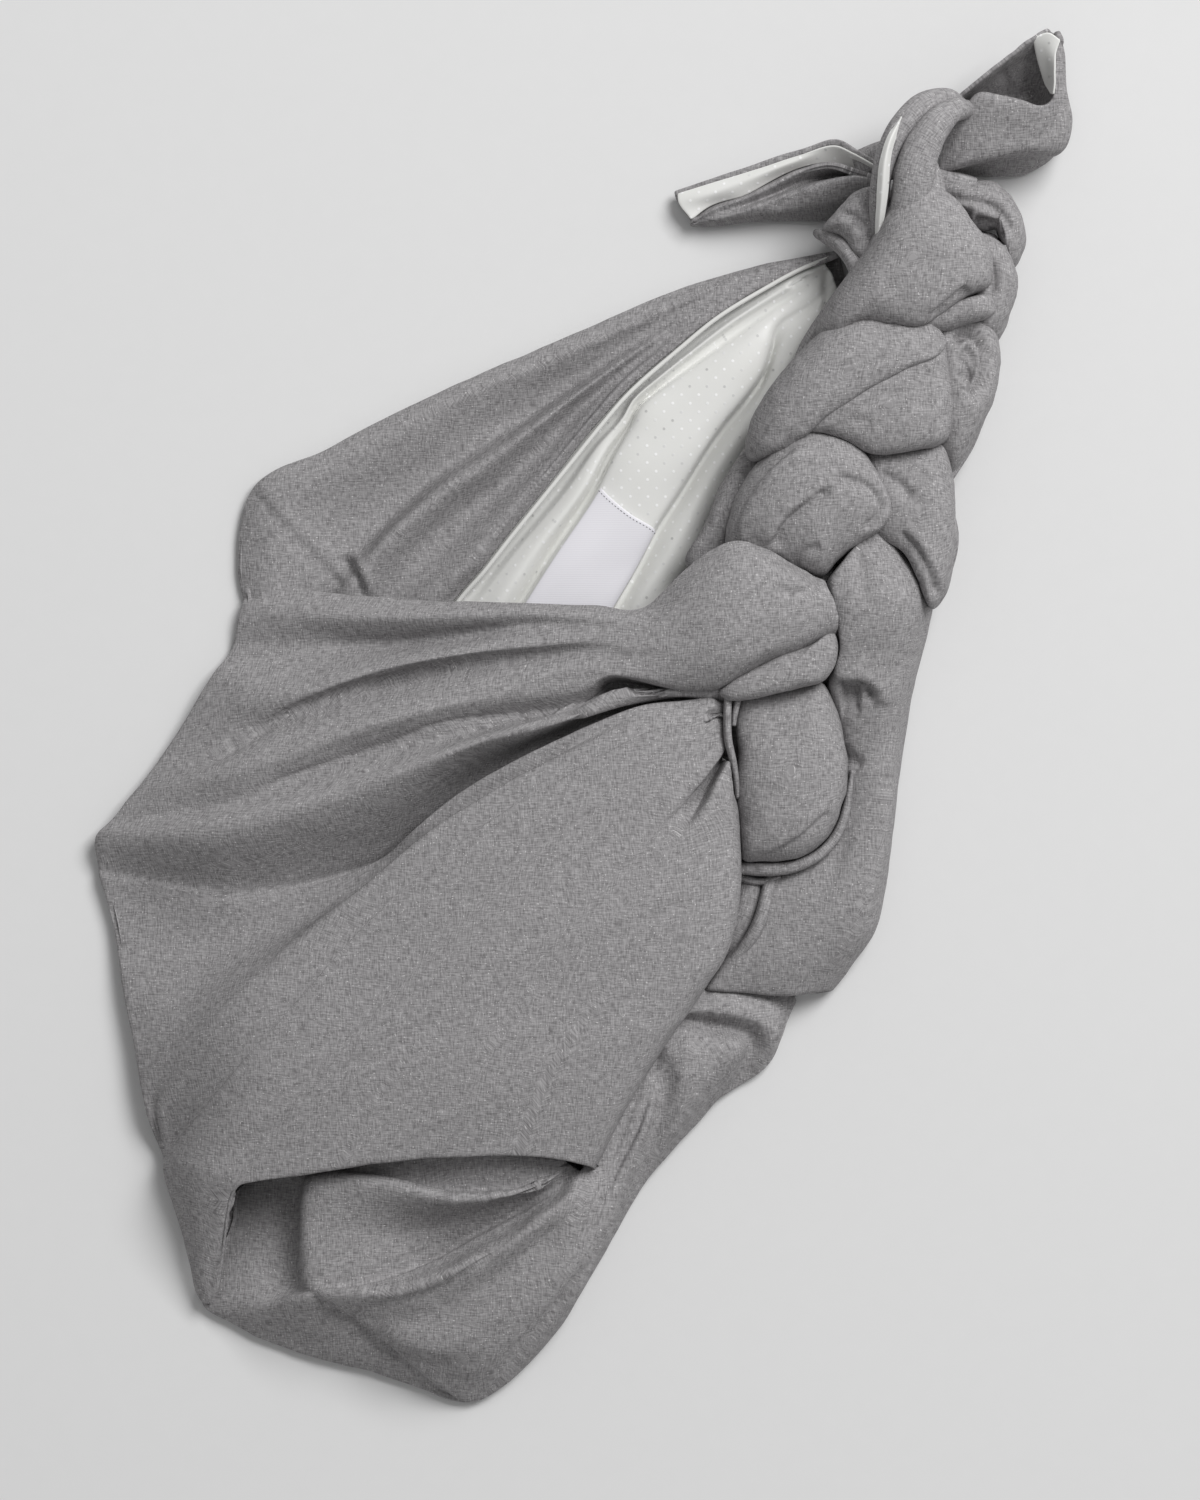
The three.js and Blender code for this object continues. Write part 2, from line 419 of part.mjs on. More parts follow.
const lining = sheetSolid(liningGrid, SATIN, LINING_LIFT).subtract(outerGrown).subtract(allTiesGrown);
bag.add(named('lining', mainBody(lining), WHITE_SATIN));

const label = sheetSolid(labelGrid, LABEL, LINING_LIFT + GAP + LABEL).subtract(outerGrown);
bag.add(named('label', mainBody(label), LABEL_SATIN));

// Each tie is pressed in by the ones before it.
tieNames.forEach((name, i) => {
  const solid = tiesGrown.slice(0, i).reduce((left, other) => left.subtract(other), tieSolid(TIES[name]));
  bag.add(named(name, mainBody(solid), GRAY_CLOTH));
});

export default bag;
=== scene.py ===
"""A gray bojagi bag, wrapped from one lined cloth, that lies on its back with its plaited ties knotted."""
import math

import bpy
import numpy as np
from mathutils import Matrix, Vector


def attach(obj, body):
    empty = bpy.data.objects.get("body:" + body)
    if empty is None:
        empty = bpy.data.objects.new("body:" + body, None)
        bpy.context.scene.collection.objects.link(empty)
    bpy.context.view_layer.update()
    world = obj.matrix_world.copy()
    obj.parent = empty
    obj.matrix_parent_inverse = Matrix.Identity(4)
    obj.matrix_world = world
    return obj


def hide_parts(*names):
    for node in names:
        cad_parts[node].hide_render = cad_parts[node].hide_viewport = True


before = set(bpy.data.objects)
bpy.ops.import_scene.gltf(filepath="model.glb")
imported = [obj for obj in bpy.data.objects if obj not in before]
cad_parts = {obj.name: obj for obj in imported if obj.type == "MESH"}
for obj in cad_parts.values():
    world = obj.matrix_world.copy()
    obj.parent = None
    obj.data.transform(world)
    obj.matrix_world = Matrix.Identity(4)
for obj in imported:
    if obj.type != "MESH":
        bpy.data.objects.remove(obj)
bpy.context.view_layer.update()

# Outer cloth, front: cotton chambray, doubled over, gathered into pleats that run in under the plait,
# then brought down over the bag as one smooth panel. Nothing is sewn: folding and the plait hold it.
# Sizes are in millimetres unless said otherwise, and MM is one in Blender's metres.
MM = 0.001
CLOTH = 2.2

# Where the cloth turns under it meets the floor this far inside the outline. The tuck has this many
# steps, and its turn is rounded off in passes over the points that lie within reach.
FLOOR_TURN = {"inset": 5.0, "height": CLOTH + 0.1}
TUCK = {"steps": 8, "passes": 5, "reach": 4}

# Each row is one fold line, from the cloth's open edge to where it is gathered. Past its open edge the
# cloth is tucked on to the last point of a row that has one, else to the floor.
FRONT_FOLDS = [
    ("lip", [(-134.4, 56.4, 3), (-72, 51, 24), (-24, 49, 38), (4, 47, 42), (24, 46, 48), (42, 61, 50),
        (52, 68.5, 52), (62, 72.5, 54), (74, 69.5, 54), (88, 62, 52), (97, 58, 50)]),
    ("lip roll", [(-138, 46, 6), (-72, 43, 33), (-24, 44.2, 45), (4, 43, 51), (30, 43, 57), (46, 55, 61),
        (62, 63, 64), (80, 60, 63), (98, 55, 56)]),
    ("first trough", [(-141, 31, 4), (-112, 31.8, 13), (-72, 33, 24), (-48, 36, 33.6), (-24, 39.2, 42),
        (-8, 39.8, 47.6), (8, 38, 53), (34, 38, 61), (56, 48, 67), (78, 51, 66), (100, 50, 59)]),
    ("second pleat", [(-149, 21, 8), (-120, 12, 28), (-72, 24, 40), (4, 33, 54), (34, 31, 62),
        (58, 38, 68), (80, 43, 66), (101, 45, 59)]),
    ("second trough", [(-169, -13, 6), (-127, -1, 24), (-72, 19, 32), (4, 28, 53), (35, 25, 62),
        (58, 30, 67), (82, 37, 64), (101.5, 41, 57)]),
    ("third pleat", [(-183, -29, 8), (-134, -17, 34), (-80, 1, 46), (4, 20, 56), (34, 18, 60),
        (60, 23, 64), (84, 33, 61), (101.5, 38.5, 54)]),
    ("plait base", [(-187, -35, 8), (-135, -24, 33), (-78, -4, 43), (-30, 8, 50), (2, 14, 54),
        (12, 18.6, 56), (22, 17.4, 56), (40, 13.6, 56), (55, 14.5, 56), (64, 19.5, 56.5), (74, 25.5, 56),
        (88, 30.5, 54), (101, 37, 50)]),
    ("third trough", [(-190, -39, 8), (-136, -30, 31), (-76, -9, 39), (-30, 2, 45), (2, 9, 48),
        (12, 15.4, 40), (22, 14.8, 40), (40, 12.8, 41), (55, 13.5, 42), (64, 18, 42), (74, 23, 42),
        (88, 28, 41), (100, 34, 40)]),
    ("fourth pleat", [(-195, -45, 8), (-146, -43, 34), (-88, -26, 46), (-40, -8, 53), (0, 4, 57),
        (13, 11.4, 55), (26, 12.2, 53), (40, 12, 51), (48, 11.5, 49), (57, 9, 44)]),
    ("deep trough", [(-194, -57, 5), (-160, -64, 15), (-141, -65, 18.5), (-106, -58.5, 21), (-79, -50, 23),
        (-66, -40, 26), (-47.6, -25, 29), (-29, -14, 33), (-8, -4, 37), (4, 1.5, 39), (24, 9, 38),
        (48, 10.5, 38)]),
    ("under the panel", [(-194, -58.5, 5), (-162, -66, 14.6), (-145, -67.6, 17.2), (-108, -62.6, 18.4),
        (-79, -55, 18.5), (-66, -48, 19), (-47, -34, 22), (-28, -22, 27), (-6, -12, 31), (6, -6, 33),
        (26, 2, 32), (48, 4, 32)]),
    ("tuck", [(-194, -60, 5.5), (-162, -67.4, 14.3), (-145, -69, 17), (-108, -64, 18.8), (-79, -55.6, 21),
        (-65, -47, 23), (-46, -32, 28), (-28, -20.5, 33), (-7, -10.5, 36), (5, -4.5, 38), (25, 3, 37),
        (47, 4.5, 36)]),
    ("panel fold", [(-193.6, -62, 6), (-162, -69.2, 14), (-144, -71, 17), (-106, -64.4, 20.5),
        (-79, -52.8, 28.5), (-66, -41.5, 37), (-47.6, -26.5, 42), (-29, -15.5, 47), (-8, -5.5, 50.5),
        (4, -0.2, 52), (24, 7.6, 51), (44, 9.6, 49), (52, 10.4, 48), (56.5, 8.5, 46)]),
    ("hollow", [(-189, -82, 7), (-160, -88, 12), (-136, -84, 17), (-106, -74, 24), (-78, -60, 32),
        (-62, -49, 38), (-43, -33, 43.5), (-7, -11.5, 51), (24, 5, 53), (44, 7, 51), (52, 9, 49.5),
        (56.8, 7.8, 46)]),
    ("panel crest", [(-176, -157, 10), (-160, -136, 24), (-141, -114, 36), (-112, -86, 42), (-86, -64, 46),
        (-51, -37, 50.5), (-8, -13, 54), (24, 1, 55), (44, 4, 52.5), (52, 6.5, 50),
        (57, 6.5, 45)], (-160, -156, 3)),
    ("left shoulder", [(-169.5, -173, 6), (-136, -136, 38), (-82, -76, 48), (-42, -42, 53), (-6, -20, 56),
        (25, -3, 56), (44, 1, 53), (52, 4, 50), (57, 5, 45)], (-157, -170, 3)),
    ("shoulder turn", [(-168, -177, 10), (-136, -138, 39), (-82, -78, 48.3), (-42, -43.5, 53.2),
        (-6, -21, 56), (26, -4, 56), (44, 0, 53), (52, 3.6, 50), (57, 4.6, 45)], (-156, -223, 4)),
    ("left strip", [(-156, -178, 30), (-122, -140, 44), (-76, -88, 51), (-36, -54, 56), (0, -26, 57),
        (28, -8, 56), (45, -2, 53), (52, 2, 50), (57, 3.5, 45)], (-152, -231, 8)),
    ("strip edge", [(-140, -183, 36), (-112, -146, 46), (-72, -102, 52), (-32, -62, 56), (4, -32, 57.5),
        (30, -12, 56), (46, -5, 53), (53, 0, 49.5), (57, 2, 45)], (-147, -231, 9)),
    ("panel corner", [(-134, -184, 36), (-106, -148, 47), (-68, -104, 53), (-28, -66, 57), (7, -36, 57.5),
        (32, -16, 56), (47, -8, 52), (53.5, -3, 49), (57, -0.5, 45)], (-137, -178, 26)),
    ("panel left", [(-112, -180, 42), (-88, -142, 51), (-56, -106, 55), (-20, -70, 58), (12, -42, 57.5),
        (34, -22, 56), (48, -13, 51.5), (54, -7, 48.5), (57, -4, 45)], (-112, -173, 30)),
    ("panel middle left", [(-80, -175, 46), (-60, -138, 54), (-32, -104, 57), (-2, -74, 58), (22, -50, 57),
        (38, -32, 55), (49, -21, 51.5), (55, -13, 48), (57.4, -9, 45)], (-80, -168, 33)),
    ("dent", [(-66, -174, 46.5), (-49, -138, 55), (-23, -104, 57), (4, -75, 58), (24, -54, 56.5),
        (34, -40, 55), (44, -28, 51), (52, -16.5, 46), (57, -10.5, 43)], (-66, -167, 33)),
    ("pit, low side", [(-58, -173.5, 47), (-42, -138, 55), (-18, -104, 57), (10, -76, 58), (30, -54, 56.5),
        (40, -41, 54.5), (46, -33, 48), (51, -24.5, 41.5), (56.4, -14.5, 37)], (-58, -166.5, 34)),
    ("pit, high side", [(-54, -173.3, 47), (-38, -138, 55), (-14, -104, 57), (14, -76, 58),
        (33, -54, 56.5), (43, -42, 55), (49, -34, 54.5), (53.8, -25, 53.5),
        (58.8, -15.5, 49)], (-54, -166.3, 34)),
    ("panel right", [(-16, -173, 46), (-4, -140, 52), (18, -106, 54), (38, -76, 54), (50, -56, 53),
        (57, -42, 51), (59, -32, 50), (60.4, -25, 48), (60, -20, 45)], (-16, -166, 34)),
    ("right border", [(3, -177, 40), (18, -146, 46), (44, -107, 48), (53.6, -93, 48), (58.6, -80, 47.5),
        (61.6, -58, 46.5), (62, -38, 45.5), (61, -28, 45), (60, -22, 44)], (1, -168, 30)),
    ("right turn", [(6, -181, 14), (21.5, -149, 16), (47.5, -110, 17), (56.6, -95, 17), (61, -82, 18),
        (64, -60, 18), (64.4, -38, 19), (63.6, -26, 20), (62.4, -18, 22)], (4, -173, 10)),
]

# Creases pressed into the front. side is where the upper layer lies, seen along the line: 1 left,
# -1 right. A crease without it has no step.
FRONT_CREASES = [
    {"crease": "first trough", "line": [(-28, 38.4), (-48, 35.6), (-72, 32.6),
        (-104, 31.6)], "deep": 1.3, "wide": 5},
    {"crease": "second trough", "line": [(16, 32), (-8, 28), (-66, 20), (-94, 14), (-116, 5), (-136, -8),
        (-160, -19), (-173, -23)], "deep": 1.6, "wide": 4},
    {"crease": "third trough", "line": [(8, 8), (-8, 5), (-56, -1), (-69, -6), (-98, -16),
        (-134, -28)], "deep": 1.8, "wide": 6, "side": 1},
    {"crease": "lip fold", "line": [(30, 52), (4, 50), (-40, 51), (-92, 55),
        (-116, 57)], "deep": 0.8, "wide": 4},
    {"crease": "ridge", "line": [(20, 22), (-30, 14), (-84, 4), (-130, -14)], "deep": 0.9, "wide": 5},
    {"crease": "pit", "line": [(8, 15), (14, 16.4), (24, 15.4),
        (36, 13.4)], "deep": 2.0, "wide": 3, "side": 1},
    {"crease": "end curl", "line": [(89, 60), (93, 57), (91, 53), (84, 52),
        (76, 55)], "deep": 1.8, "wide": 4},
    {"crease": "under the nose", "line": [(49, 3.8), (53.5, 4.2), (58, 3)], "deep": 1.4, "wide": 3.5},
    {"crease": "strip over the corner", "line": [(-158, -131), (-164.5, -141), (-170, -151),
        (-169.6, -160), (-167.5, -171)], "deep": 1.8, "wide": 3, "side": 1},
    {"crease": "left strip", "line": [(-138, -184), (-141, -198), (-145, -214),
        (-150, -224)], "deep": 1.4, "wide": 3},
]

# How a crease is pressed: its steps, the parts of which the first and the last fade out, how soft the
# step is and how wide the gutter beside it, and in depths how far one rises and the other sinks.
PRESS = {"steps": 40, "parts": 7, "soft": 0.8, "gutter": 1.6, "rise": 0.6, "sink": 0.5}

# How cloth is laid flat for its weave: lines of the first net, passes for it and for the whole cloth,
# and the part of each thread's error that one pass takes away at either end.
LOOM = {"lines": 26, "first": 150, "then": 30, "pull": 0.11}


def through(points, at):
    """A smooth centripetal curve through points, or one for each column of them, at the given spans."""
    points = np.asarray(points, float)
    points = np.concatenate([[2 * points[0] - points[1]], points, [2 * points[-1] - points[-2]]])
    span = np.minimum(np.floor(at).astype(int), len(points) - 4)
    along = (at - span).reshape((-1,) + (1,) * (points.ndim - 1))
    p0, p1, p2, p3 = (points[span + k] for k in range(4))
    steps = (p1 - p0, p2 - p1, p3 - p2)
    before, middle, after = (np.sqrt(np.linalg.norm(step, axis=-1, keepdims=True)) for step in steps)
    middle = np.where(middle < 1e-4, 1, middle)
    before = np.where(before < 1e-4, middle, before)
    after = np.where(after < 1e-4, middle, after)
    start = ((p1 - p0) / before - (p2 - p0) / (before + middle) + (p2 - p1) / middle) * middle
    end = ((p2 - p1) / middle - (p3 - p1) / (middle + after) + (p3 - p2) / after) * middle
    bend = (3 * (p2 - p1) - 2 * start - end) * along ** 2
    return p1 + start * along + bend + (2 * (p1 - p2) + start + end) * along ** 3


def run_along(points):
    """The distance along a line of points, at each of them."""
    return np.concatenate([[0], np.cumsum(np.linalg.norm(np.diff(points, axis=0), axis=1))])


def spaced(points, count, endpoint=True):
    """count points at equal distances along a fine line of points."""
    run = run_along(points)
    at = np.linspace(0, run[-1], count, endpoint=endpoint)
    return np.stack([np.interp(at, run, points[:, k]) for k in range(points.shape[1])], axis=1)


def evenly(points, count, fine=40):
    """count + 1 points at equal distances along the smooth curve through points."""
    return spaced(through(points, np.linspace(0, len(points) - 1, fine * len(points))), count + 1)


def floor_turn(point, inner):
    """Where cloth that turns under at the outline meets the floor, on the side of an inner point."""
    inward = np.subtract(inner, point) * (1, 1, 0)
    foot = np.add(point, inward / np.linalg.norm(inward) * FLOOR_TURN["inset"])
    return foot[0], foot[1], FLOOR_TURN["height"]


def fold_grid(rows, steps, between, tucked=True):
    """A grid of points over a table of fold lines: steps along them, and between points from line to line."""
    lines = []
    for _, line, *tuck in rows:
        line = evenly(line, steps)
        if tucked:
            end = np.asarray(tuck[0] if tuck else floor_turn(line[0], line[1]), float)
            share = np.linspace(0, 1, TUCK["steps"] + 1)[:-1, None]
            line = np.concatenate([end * (1 - share) + line[0] * share, line])
        lines.append(line)
    spans = len(rows) - 1
    grid = through(np.stack(lines), np.linspace(0, spans, spans * between + 1))
    if tucked:
        first, last = TUCK["steps"] - TUCK["reach"], TUCK["steps"] + TUCK["reach"]
        for _ in range(TUCK["passes"]):
            beside = grid[:, first - 1:last] + grid[:, first + 1:last + 2]
            grid[:, first:last + 1] = 0.5 * grid[:, first:last + 1] + 0.25 * beside
    return grid


def unit(vectors):
    """The vectors at length 1."""
    return vectors / np.maximum(np.linalg.norm(vectors, axis=-1, keepdims=True), 1e-9)


def eased(share):
    """A share from 0 to 1 that starts and ends gently."""
    return share * share * (3 - 2 * share)


def normals_of(grid, passes=1):
    """Unit normals over a grid, all on the side that faces up on the whole."""
    normal = np.cross(np.gradient(grid, axis=1), np.gradient(grid, axis=0))
    for _ in range(passes):
        edge = np.pad(normal, ((1, 1), (1, 1), (0, 0)), mode="edge")
        normal = edge[1:-1, 1:-1] * 2 + edge[:-2, 1:-1] + edge[2:, 1:-1] + edge[1:-1, :-2] + edge[1:-1, 2:]
    if normal[..., 2].sum() < 0:
        normal = -normal
    return unit(normal)


def uneven(u, v, size, seed):
    """Smooth unevenness from -1 to 1 over flat coordinates, with lumps of the given size."""
    u = (u - u.min()) / size
    v = (v - v.min()) / size
    knots = np.random.RandomState(seed).uniform(-1, 1, (int(u.max()) + 2, int(v.max()) + 2))
    a, b = u.astype(int), v.astype(int)
    s, t = eased(u - a), eased(v - b)
    low = knots[a, b] * (1 - s) + knots[a + 1, b] * s
    high = knots[a, b + 1] * (1 - s) + knots[a + 1, b + 1] * s
    return low * (1 - t) + high * t


def press(points, normals, creases):
    """Presses creases into points from above: a groove, or a step down from the layer that lies on top."""
    flat = points[..., :2].reshape(-1, 2)
    move = np.zeros(len(flat))
    for crease in creases:
        line = evenly(crease["line"], PRESS["steps"])
        wide = crease["wide"]
        inside = (flat > line.min(0) - 3 * wide) & (flat < line.max(0) + 3 * wide)
        near = np.flatnonzero(np.all(inside, axis=1))
        best = np.full(len(near), 1e9)
        side = np.zeros(len(near))
        place = np.zeros(len(near))
        for k, (a, b) in enumerate(zip(line[:-1], line[1:])):
            run = b - a
            off = flat[near] - a
            share = np.clip(off @ run / (run @ run), 0, 1)
            gap = off - share[:, None] * run
            far = np.hypot(gap[:, 0], gap[:, 1])
            nearer = far < best
            best[nearer] = far[nearer]
            side[nearer] = np.sign(run[0] * off[nearer, 1] - run[1] * off[nearer, 0])
            place[nearer] = (k + share[nearer]) / PRESS["steps"]
        fade = eased(np.clip(np.minimum(place, 1 - place) * PRESS["parts"], 0, 1))
        if "side" in crease:
            on_top = side * crease["side"] * np.tanh(best / PRESS["soft"])
            step = PRESS["rise"] * on_top * np.exp(-(best / wide) ** 2)
            gutter = PRESS["sink"] * np.exp(-(best / PRESS["gutter"]) ** 2)
            move[near] += crease["deep"] * fade * (step - gutter)
        else:
            move[near] -= crease["deep"] * fade * np.exp(-(best / (0.5 * wide)) ** 2)
    facing_up = np.clip(normals[..., 2:] * 2, 0, 1)
    return points + normals * facing_up * move.reshape(points.shape[:-1])[..., None]


def cloth_sizes(grid):
    """Distances across and along the cloth at each point of a grid."""
    across = np.cumsum(np.pad(np.linalg.norm(np.diff(grid, axis=0), axis=-1), ((1, 0), (0, 0))), axis=0)
    along = np.cumsum(np.pad(np.linalg.norm(np.diff(grid, axis=1), axis=-1), ((0, 0), (1, 0))), axis=1)
    return across - across[grid.shape[0] // 2], along


def crumple(grid, seed, lumps):
    """Soft handling marks along the normals: lumps are (size, height, stretch along the folds)."""
    across, along = cloth_sizes(grid)
    move = sum(height * uneven(across, along / stretch, size, seed + k)
               for k, (size, height, stretch) in enumerate(lumps))
    return grid + normals_of(grid, 2) * move[..., None]


def relaxed(flat, grid, passes):
    """Moves the points of a flattened cloth until its threads are nearly as long as on the folded one."""
    first, last, every = slice(None, -1), slice(1, None), slice(None)
    pairs = [((first, every), (last, every)), ((every, first), (every, last)),
             ((first, first), (last, last)), ((last, first), (first, last))]
    lengths = [np.linalg.norm(grid[b] - grid[a], axis=-1) for a, b in pairs]
    for _ in range(passes):
        move = np.zeros_like(flat)
        for (a, b), length in zip(pairs, lengths):
            gap = flat[b] - flat[a]
            now = np.maximum(np.linalg.norm(gap, axis=-1), 1e-6)
            pull = gap * ((now - length) / now * LOOM["pull"])[..., None]
            move[a] += pull
            move[b] -= pull
        flat = flat + move
    return flat


def filled_in(lines, at, count):
    """Lines of flat points that are known at a few of count places, filled in between those."""
    places = np.arange(count)
    return np.stack([[np.interp(places, at, line) for line in lines[..., k]] for k in (0, 1)], axis=-1)


def laid_flat(grid):
    """The cloth's place on the loom: the grid seen from above, then eased out to its real size."""
    rows, columns = grid.shape[:2]
    j = np.unique(np.linspace(0, rows - 1, LOOM["lines"]).round().astype(int))
    i = np.unique(np.linspace(0, columns - 1, LOOM["lines"]).round().astype(int))
    net = grid[np.ix_(j, i)]
    flat = filled_in(relaxed(net[..., :2], net, LOOM["first"]), i, columns)
    flat = filled_in(flat.transpose(1, 0, 2), j, rows).transpose(1, 0, 2)
    return relaxed(flat, grid, LOOM["then"])


def sheet_mesh(grid, thickness, normals):
    """Points, faces and UVs of a closed sheet: the grid on top, its copy below, and a rounded edge."""
    count = grid.shape[0] * grid.shape[1]
    index = np.arange(count).reshape(grid.shape[:2])
    uv = laid_flat(grid).reshape(-1, 2)
    tops = grid.reshape(-1, 3)
    upward = normals.reshape(-1, 3)
    unders = tops - upward * thickness
    top = np.stack([index[:-1, :-1], index[:-1, 1:], index[1:, 1:], index[1:, :-1]], axis=-1).reshape(-1, 4)
    facing = np.cross(tops[top[:, 1]] - tops[top[:, 0]], tops[top[:, 3]] - tops[top[:, 0]])
    if (facing * upward[top[:, 0]]).sum() < 0:
        top = top[:, ::-1]
    edge = np.concatenate([index[0, :-1], index[:-1, -1], index[-1, :0:-1], index[:0:-1, 0]])
    inner = np.concatenate([index[1, :-1], index[:-1, -2], index[-2, :0:-1], index[:0:-1, 1]])
    outward = tops[edge] - tops[inner]
    outward -= upward[edge] * np.sum(outward * upward[edge], axis=1, keepdims=True)
    outward = unit(outward)
    middle = (tops[edge] + unders[edge]) / 2
    points = [tops, unders]
    rings = [edge]
    for k, turn in enumerate(math.radians(angle) for angle in (45, 90, 135)):
        points.append(middle + thickness / 2 * (upward[edge] * math.cos(turn) + outward * math.sin(turn)))
        rings.append(2 * count + k * len(edge) + np.arange(len(edge)))
    rings.append(edge + count)
    points = np.concatenate(points)
    wall = np.concatenate([np.stack([first, second, np.roll(second, -1), np.roll(first, -1)], axis=-1)
                           for first, second in zip(rings[:-1], rings[1:])])
    a, b, _, c = points[wall[0]]
    if np.cross(b - a, c - a) @ outward[0] < 0:
        wall = wall[:, ::-1]
    faces = np.concatenate([top, top[:, ::-1] + count, wall])
    return points, faces.tolist(), np.concatenate([uv, uv] + [uv[edge]] * 3)


def belongs(piece, replaced):
    """Attaches a piece to the body and hides the CAD node that it stands for."""
    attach(piece, "root")
    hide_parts(replaced)
    return piece


def mesh_piece(name, points, faces, uv, material, replaced, slot):
    """A smooth piece in metres from points in millimetres, with each point's place on the cloth as UV."""
    mesh = bpy.data.meshes.new(name)
    mesh.from_pydata((points * MM).tolist(), [], faces)
    corners = np.empty(len(mesh.loops), dtype=np.int32)
    mesh.loops.foreach_get("vertex_index", corners)
    layer = mesh.uv_layers.new(name="cloth")
    layer.data.foreach_set("uv", (uv[corners] * MM).astype(np.float32).ravel())
    mesh.polygons.foreach_set("use_smooth", [True] * len(mesh.polygons))
    mesh.validate()
    mesh.materials.append(material)
    piece = bpy.data.objects.new(name, mesh)
    bpy.context.scene.collection.objects.link(piece)
    return belongs(piece, replaced)


def cloth_piece(name, grid, thickness, material, replaced, slot, passes=2):
    """A closed sheet of cloth with its upper face on a grid."""
    mesh = sheet_mesh(grid, thickness, normals_of(grid, passes))
    return mesh_piece(name, *mesh, material, replaced, slot)


def linear(code):
    """An sRGB hex colour as linear values."""
    parts = [int(code[k:k + 2], 16) / 255 for k in (1, 3, 5)]
    return tuple(c / 12.92 if c <= 0.04045 else ((c + 0.055) / 1.055) ** 2.4 for c in parts) + (1.0,)


def node(tree, kind, settings=None, **sockets):
    """Adds a node: settings are its own, sockets are values or the outputs that link to them.

    A socket is named with underscores for spaces, or is an underscore and its number."""
    new = tree.nodes.new(kind)
    for key, value in (settings or {}).items():
        setattr(new, key, value)
    for key, value in sockets.items():
        socket = new.inputs[int(key[1:]) if key[0] == "_" else key.replace("_", " ")]
        if isinstance(value, bpy.types.NodeSocket):
            tree.links.new(value, socket)
        else:
            socket.default_value = value
    return new


def new_material(name):
    """A material and its node tree, still empty."""
    material = bpy.data.materials.new(name)
    material.use_nodes = True
    material.node_tree.nodes.clear()
    return material, material.node_tree


def finish_material(tree, **surface):
    """Ends a tree with its surface, given as sockets of the Principled BSDF."""
    principled = node(tree, "ShaderNodeBsdfPrincipled", **surface)
    node(tree, "ShaderNodeOutputMaterial", Surface=principled.outputs[0])


def mixed(tree, share, first, second):
    """A mix of two colours, each a hex code or an output."""
    first, second = (linear(c) if isinstance(c, str) else c for c in (first, second))
    return node(tree, "ShaderNodeMix", {"data_type": "RGBA"}, _0=share, _6=first, _7=second).outputs[2]


# Chambray: dark gray warp and pale weft in a plain weave, matte, with threads of uneven shade and
# short pale slubs. Threads are really 0.4 mm wide; they are drawn 0.6 mm wide to show at all.
THREAD = 0.6 * MM
THREAD_LONG = 6
MOTTLE = 7 * MM


def chambray(name, dark, pale, slub):
    """A plain weave of two yarns, with slubs."""
    material, tree = new_material(name)
    cloth = node(tree, "ShaderNodeUVMap", {"uv_map": "cloth"}).outputs[0]
    threads = []
    slubs = []
    for wide, long in ((1, THREAD_LONG), (THREAD_LONG, 1)):
        drawn = node(tree, "ShaderNodeMapping", Vector=cloth, Scale=(1 / THREAD / wide, 1 / THREAD / long, 1))
        yarn = node(tree, "ShaderNodeTexNoise", Vector=drawn.outputs[0], Scale=1.0, Detail=1.0, Roughness=0.6)
        threads.append(yarn.outputs["Fac"])
        short = (1 / THREAD / (0.6 + 0.2 * wide), 1 / THREAD / (0.6 + 0.2 * long), 1)
        drawn = node(tree, "ShaderNodeMapping", Vector=cloth, Location=(7, 3, 0), Scale=short)
        speck = node(tree, "ShaderNodeTexNoise", Vector=drawn.outputs[0], Scale=1.0, Detail=0.0)
        rare = node(tree, "ShaderNodeMapRange", Value=speck.outputs["Fac"], From_Min=0.74, From_Max=0.84)
        slubs.append(rare.outputs[0])
    woven = node(tree, "ShaderNodeMath", {"operation": "ADD"}, _0=threads[0], _1=threads[1]).outputs[0]
    fleck = node(tree, "ShaderNodeMath", {"operation": "MAXIMUM"}, _0=slubs[0], _1=slubs[1]).outputs[0]
    mottle = node(tree, "ShaderNodeTexNoise", Vector=cloth, Scale=1 / MOTTLE, Detail=3.0, Roughness=0.6)
    mottle = mottle.outputs["Fac"]
    shade = node(tree, "ShaderNodeMath", {"operation": "MULTIPLY_ADD"}, _0=mottle, _1=0.2, _2=woven)
    tone = node(tree, "ShaderNodeMapRange", Value=shade.outputs[0], From_Min=0.78, From_Max=1.42).outputs[0]
    colour = mixed(tree, fleck, mixed(tree, tone, dark, pale), slub)
    bump = node(tree, "ShaderNodeBump", Strength=0.5, Distance=0.0003, Height=woven).outputs[0]
    finish_material(tree, Base_Color=colour, Roughness=0.95, Specular_IOR_Level=0.12, Normal=bump)
    return material


gray_chambray = chambray("gray cotton chambray", "#7a7879", "#b0aeaf", "#d8d6d6")

front = fold_grid(FRONT_FOLDS, steps=165, between=10)
front = crumple(front, seed=11, lumps=[(26, 0.9, 2.5), (11, 0.35, 2.0), (5, 0.14, 1.5)])
front = press(front, normals_of(front, 3), FRONT_CREASES)
bag_front = cloth_piece("bag_front", front, CLOTH, gray_chambray, "outer_cloth", "gray_cloth")

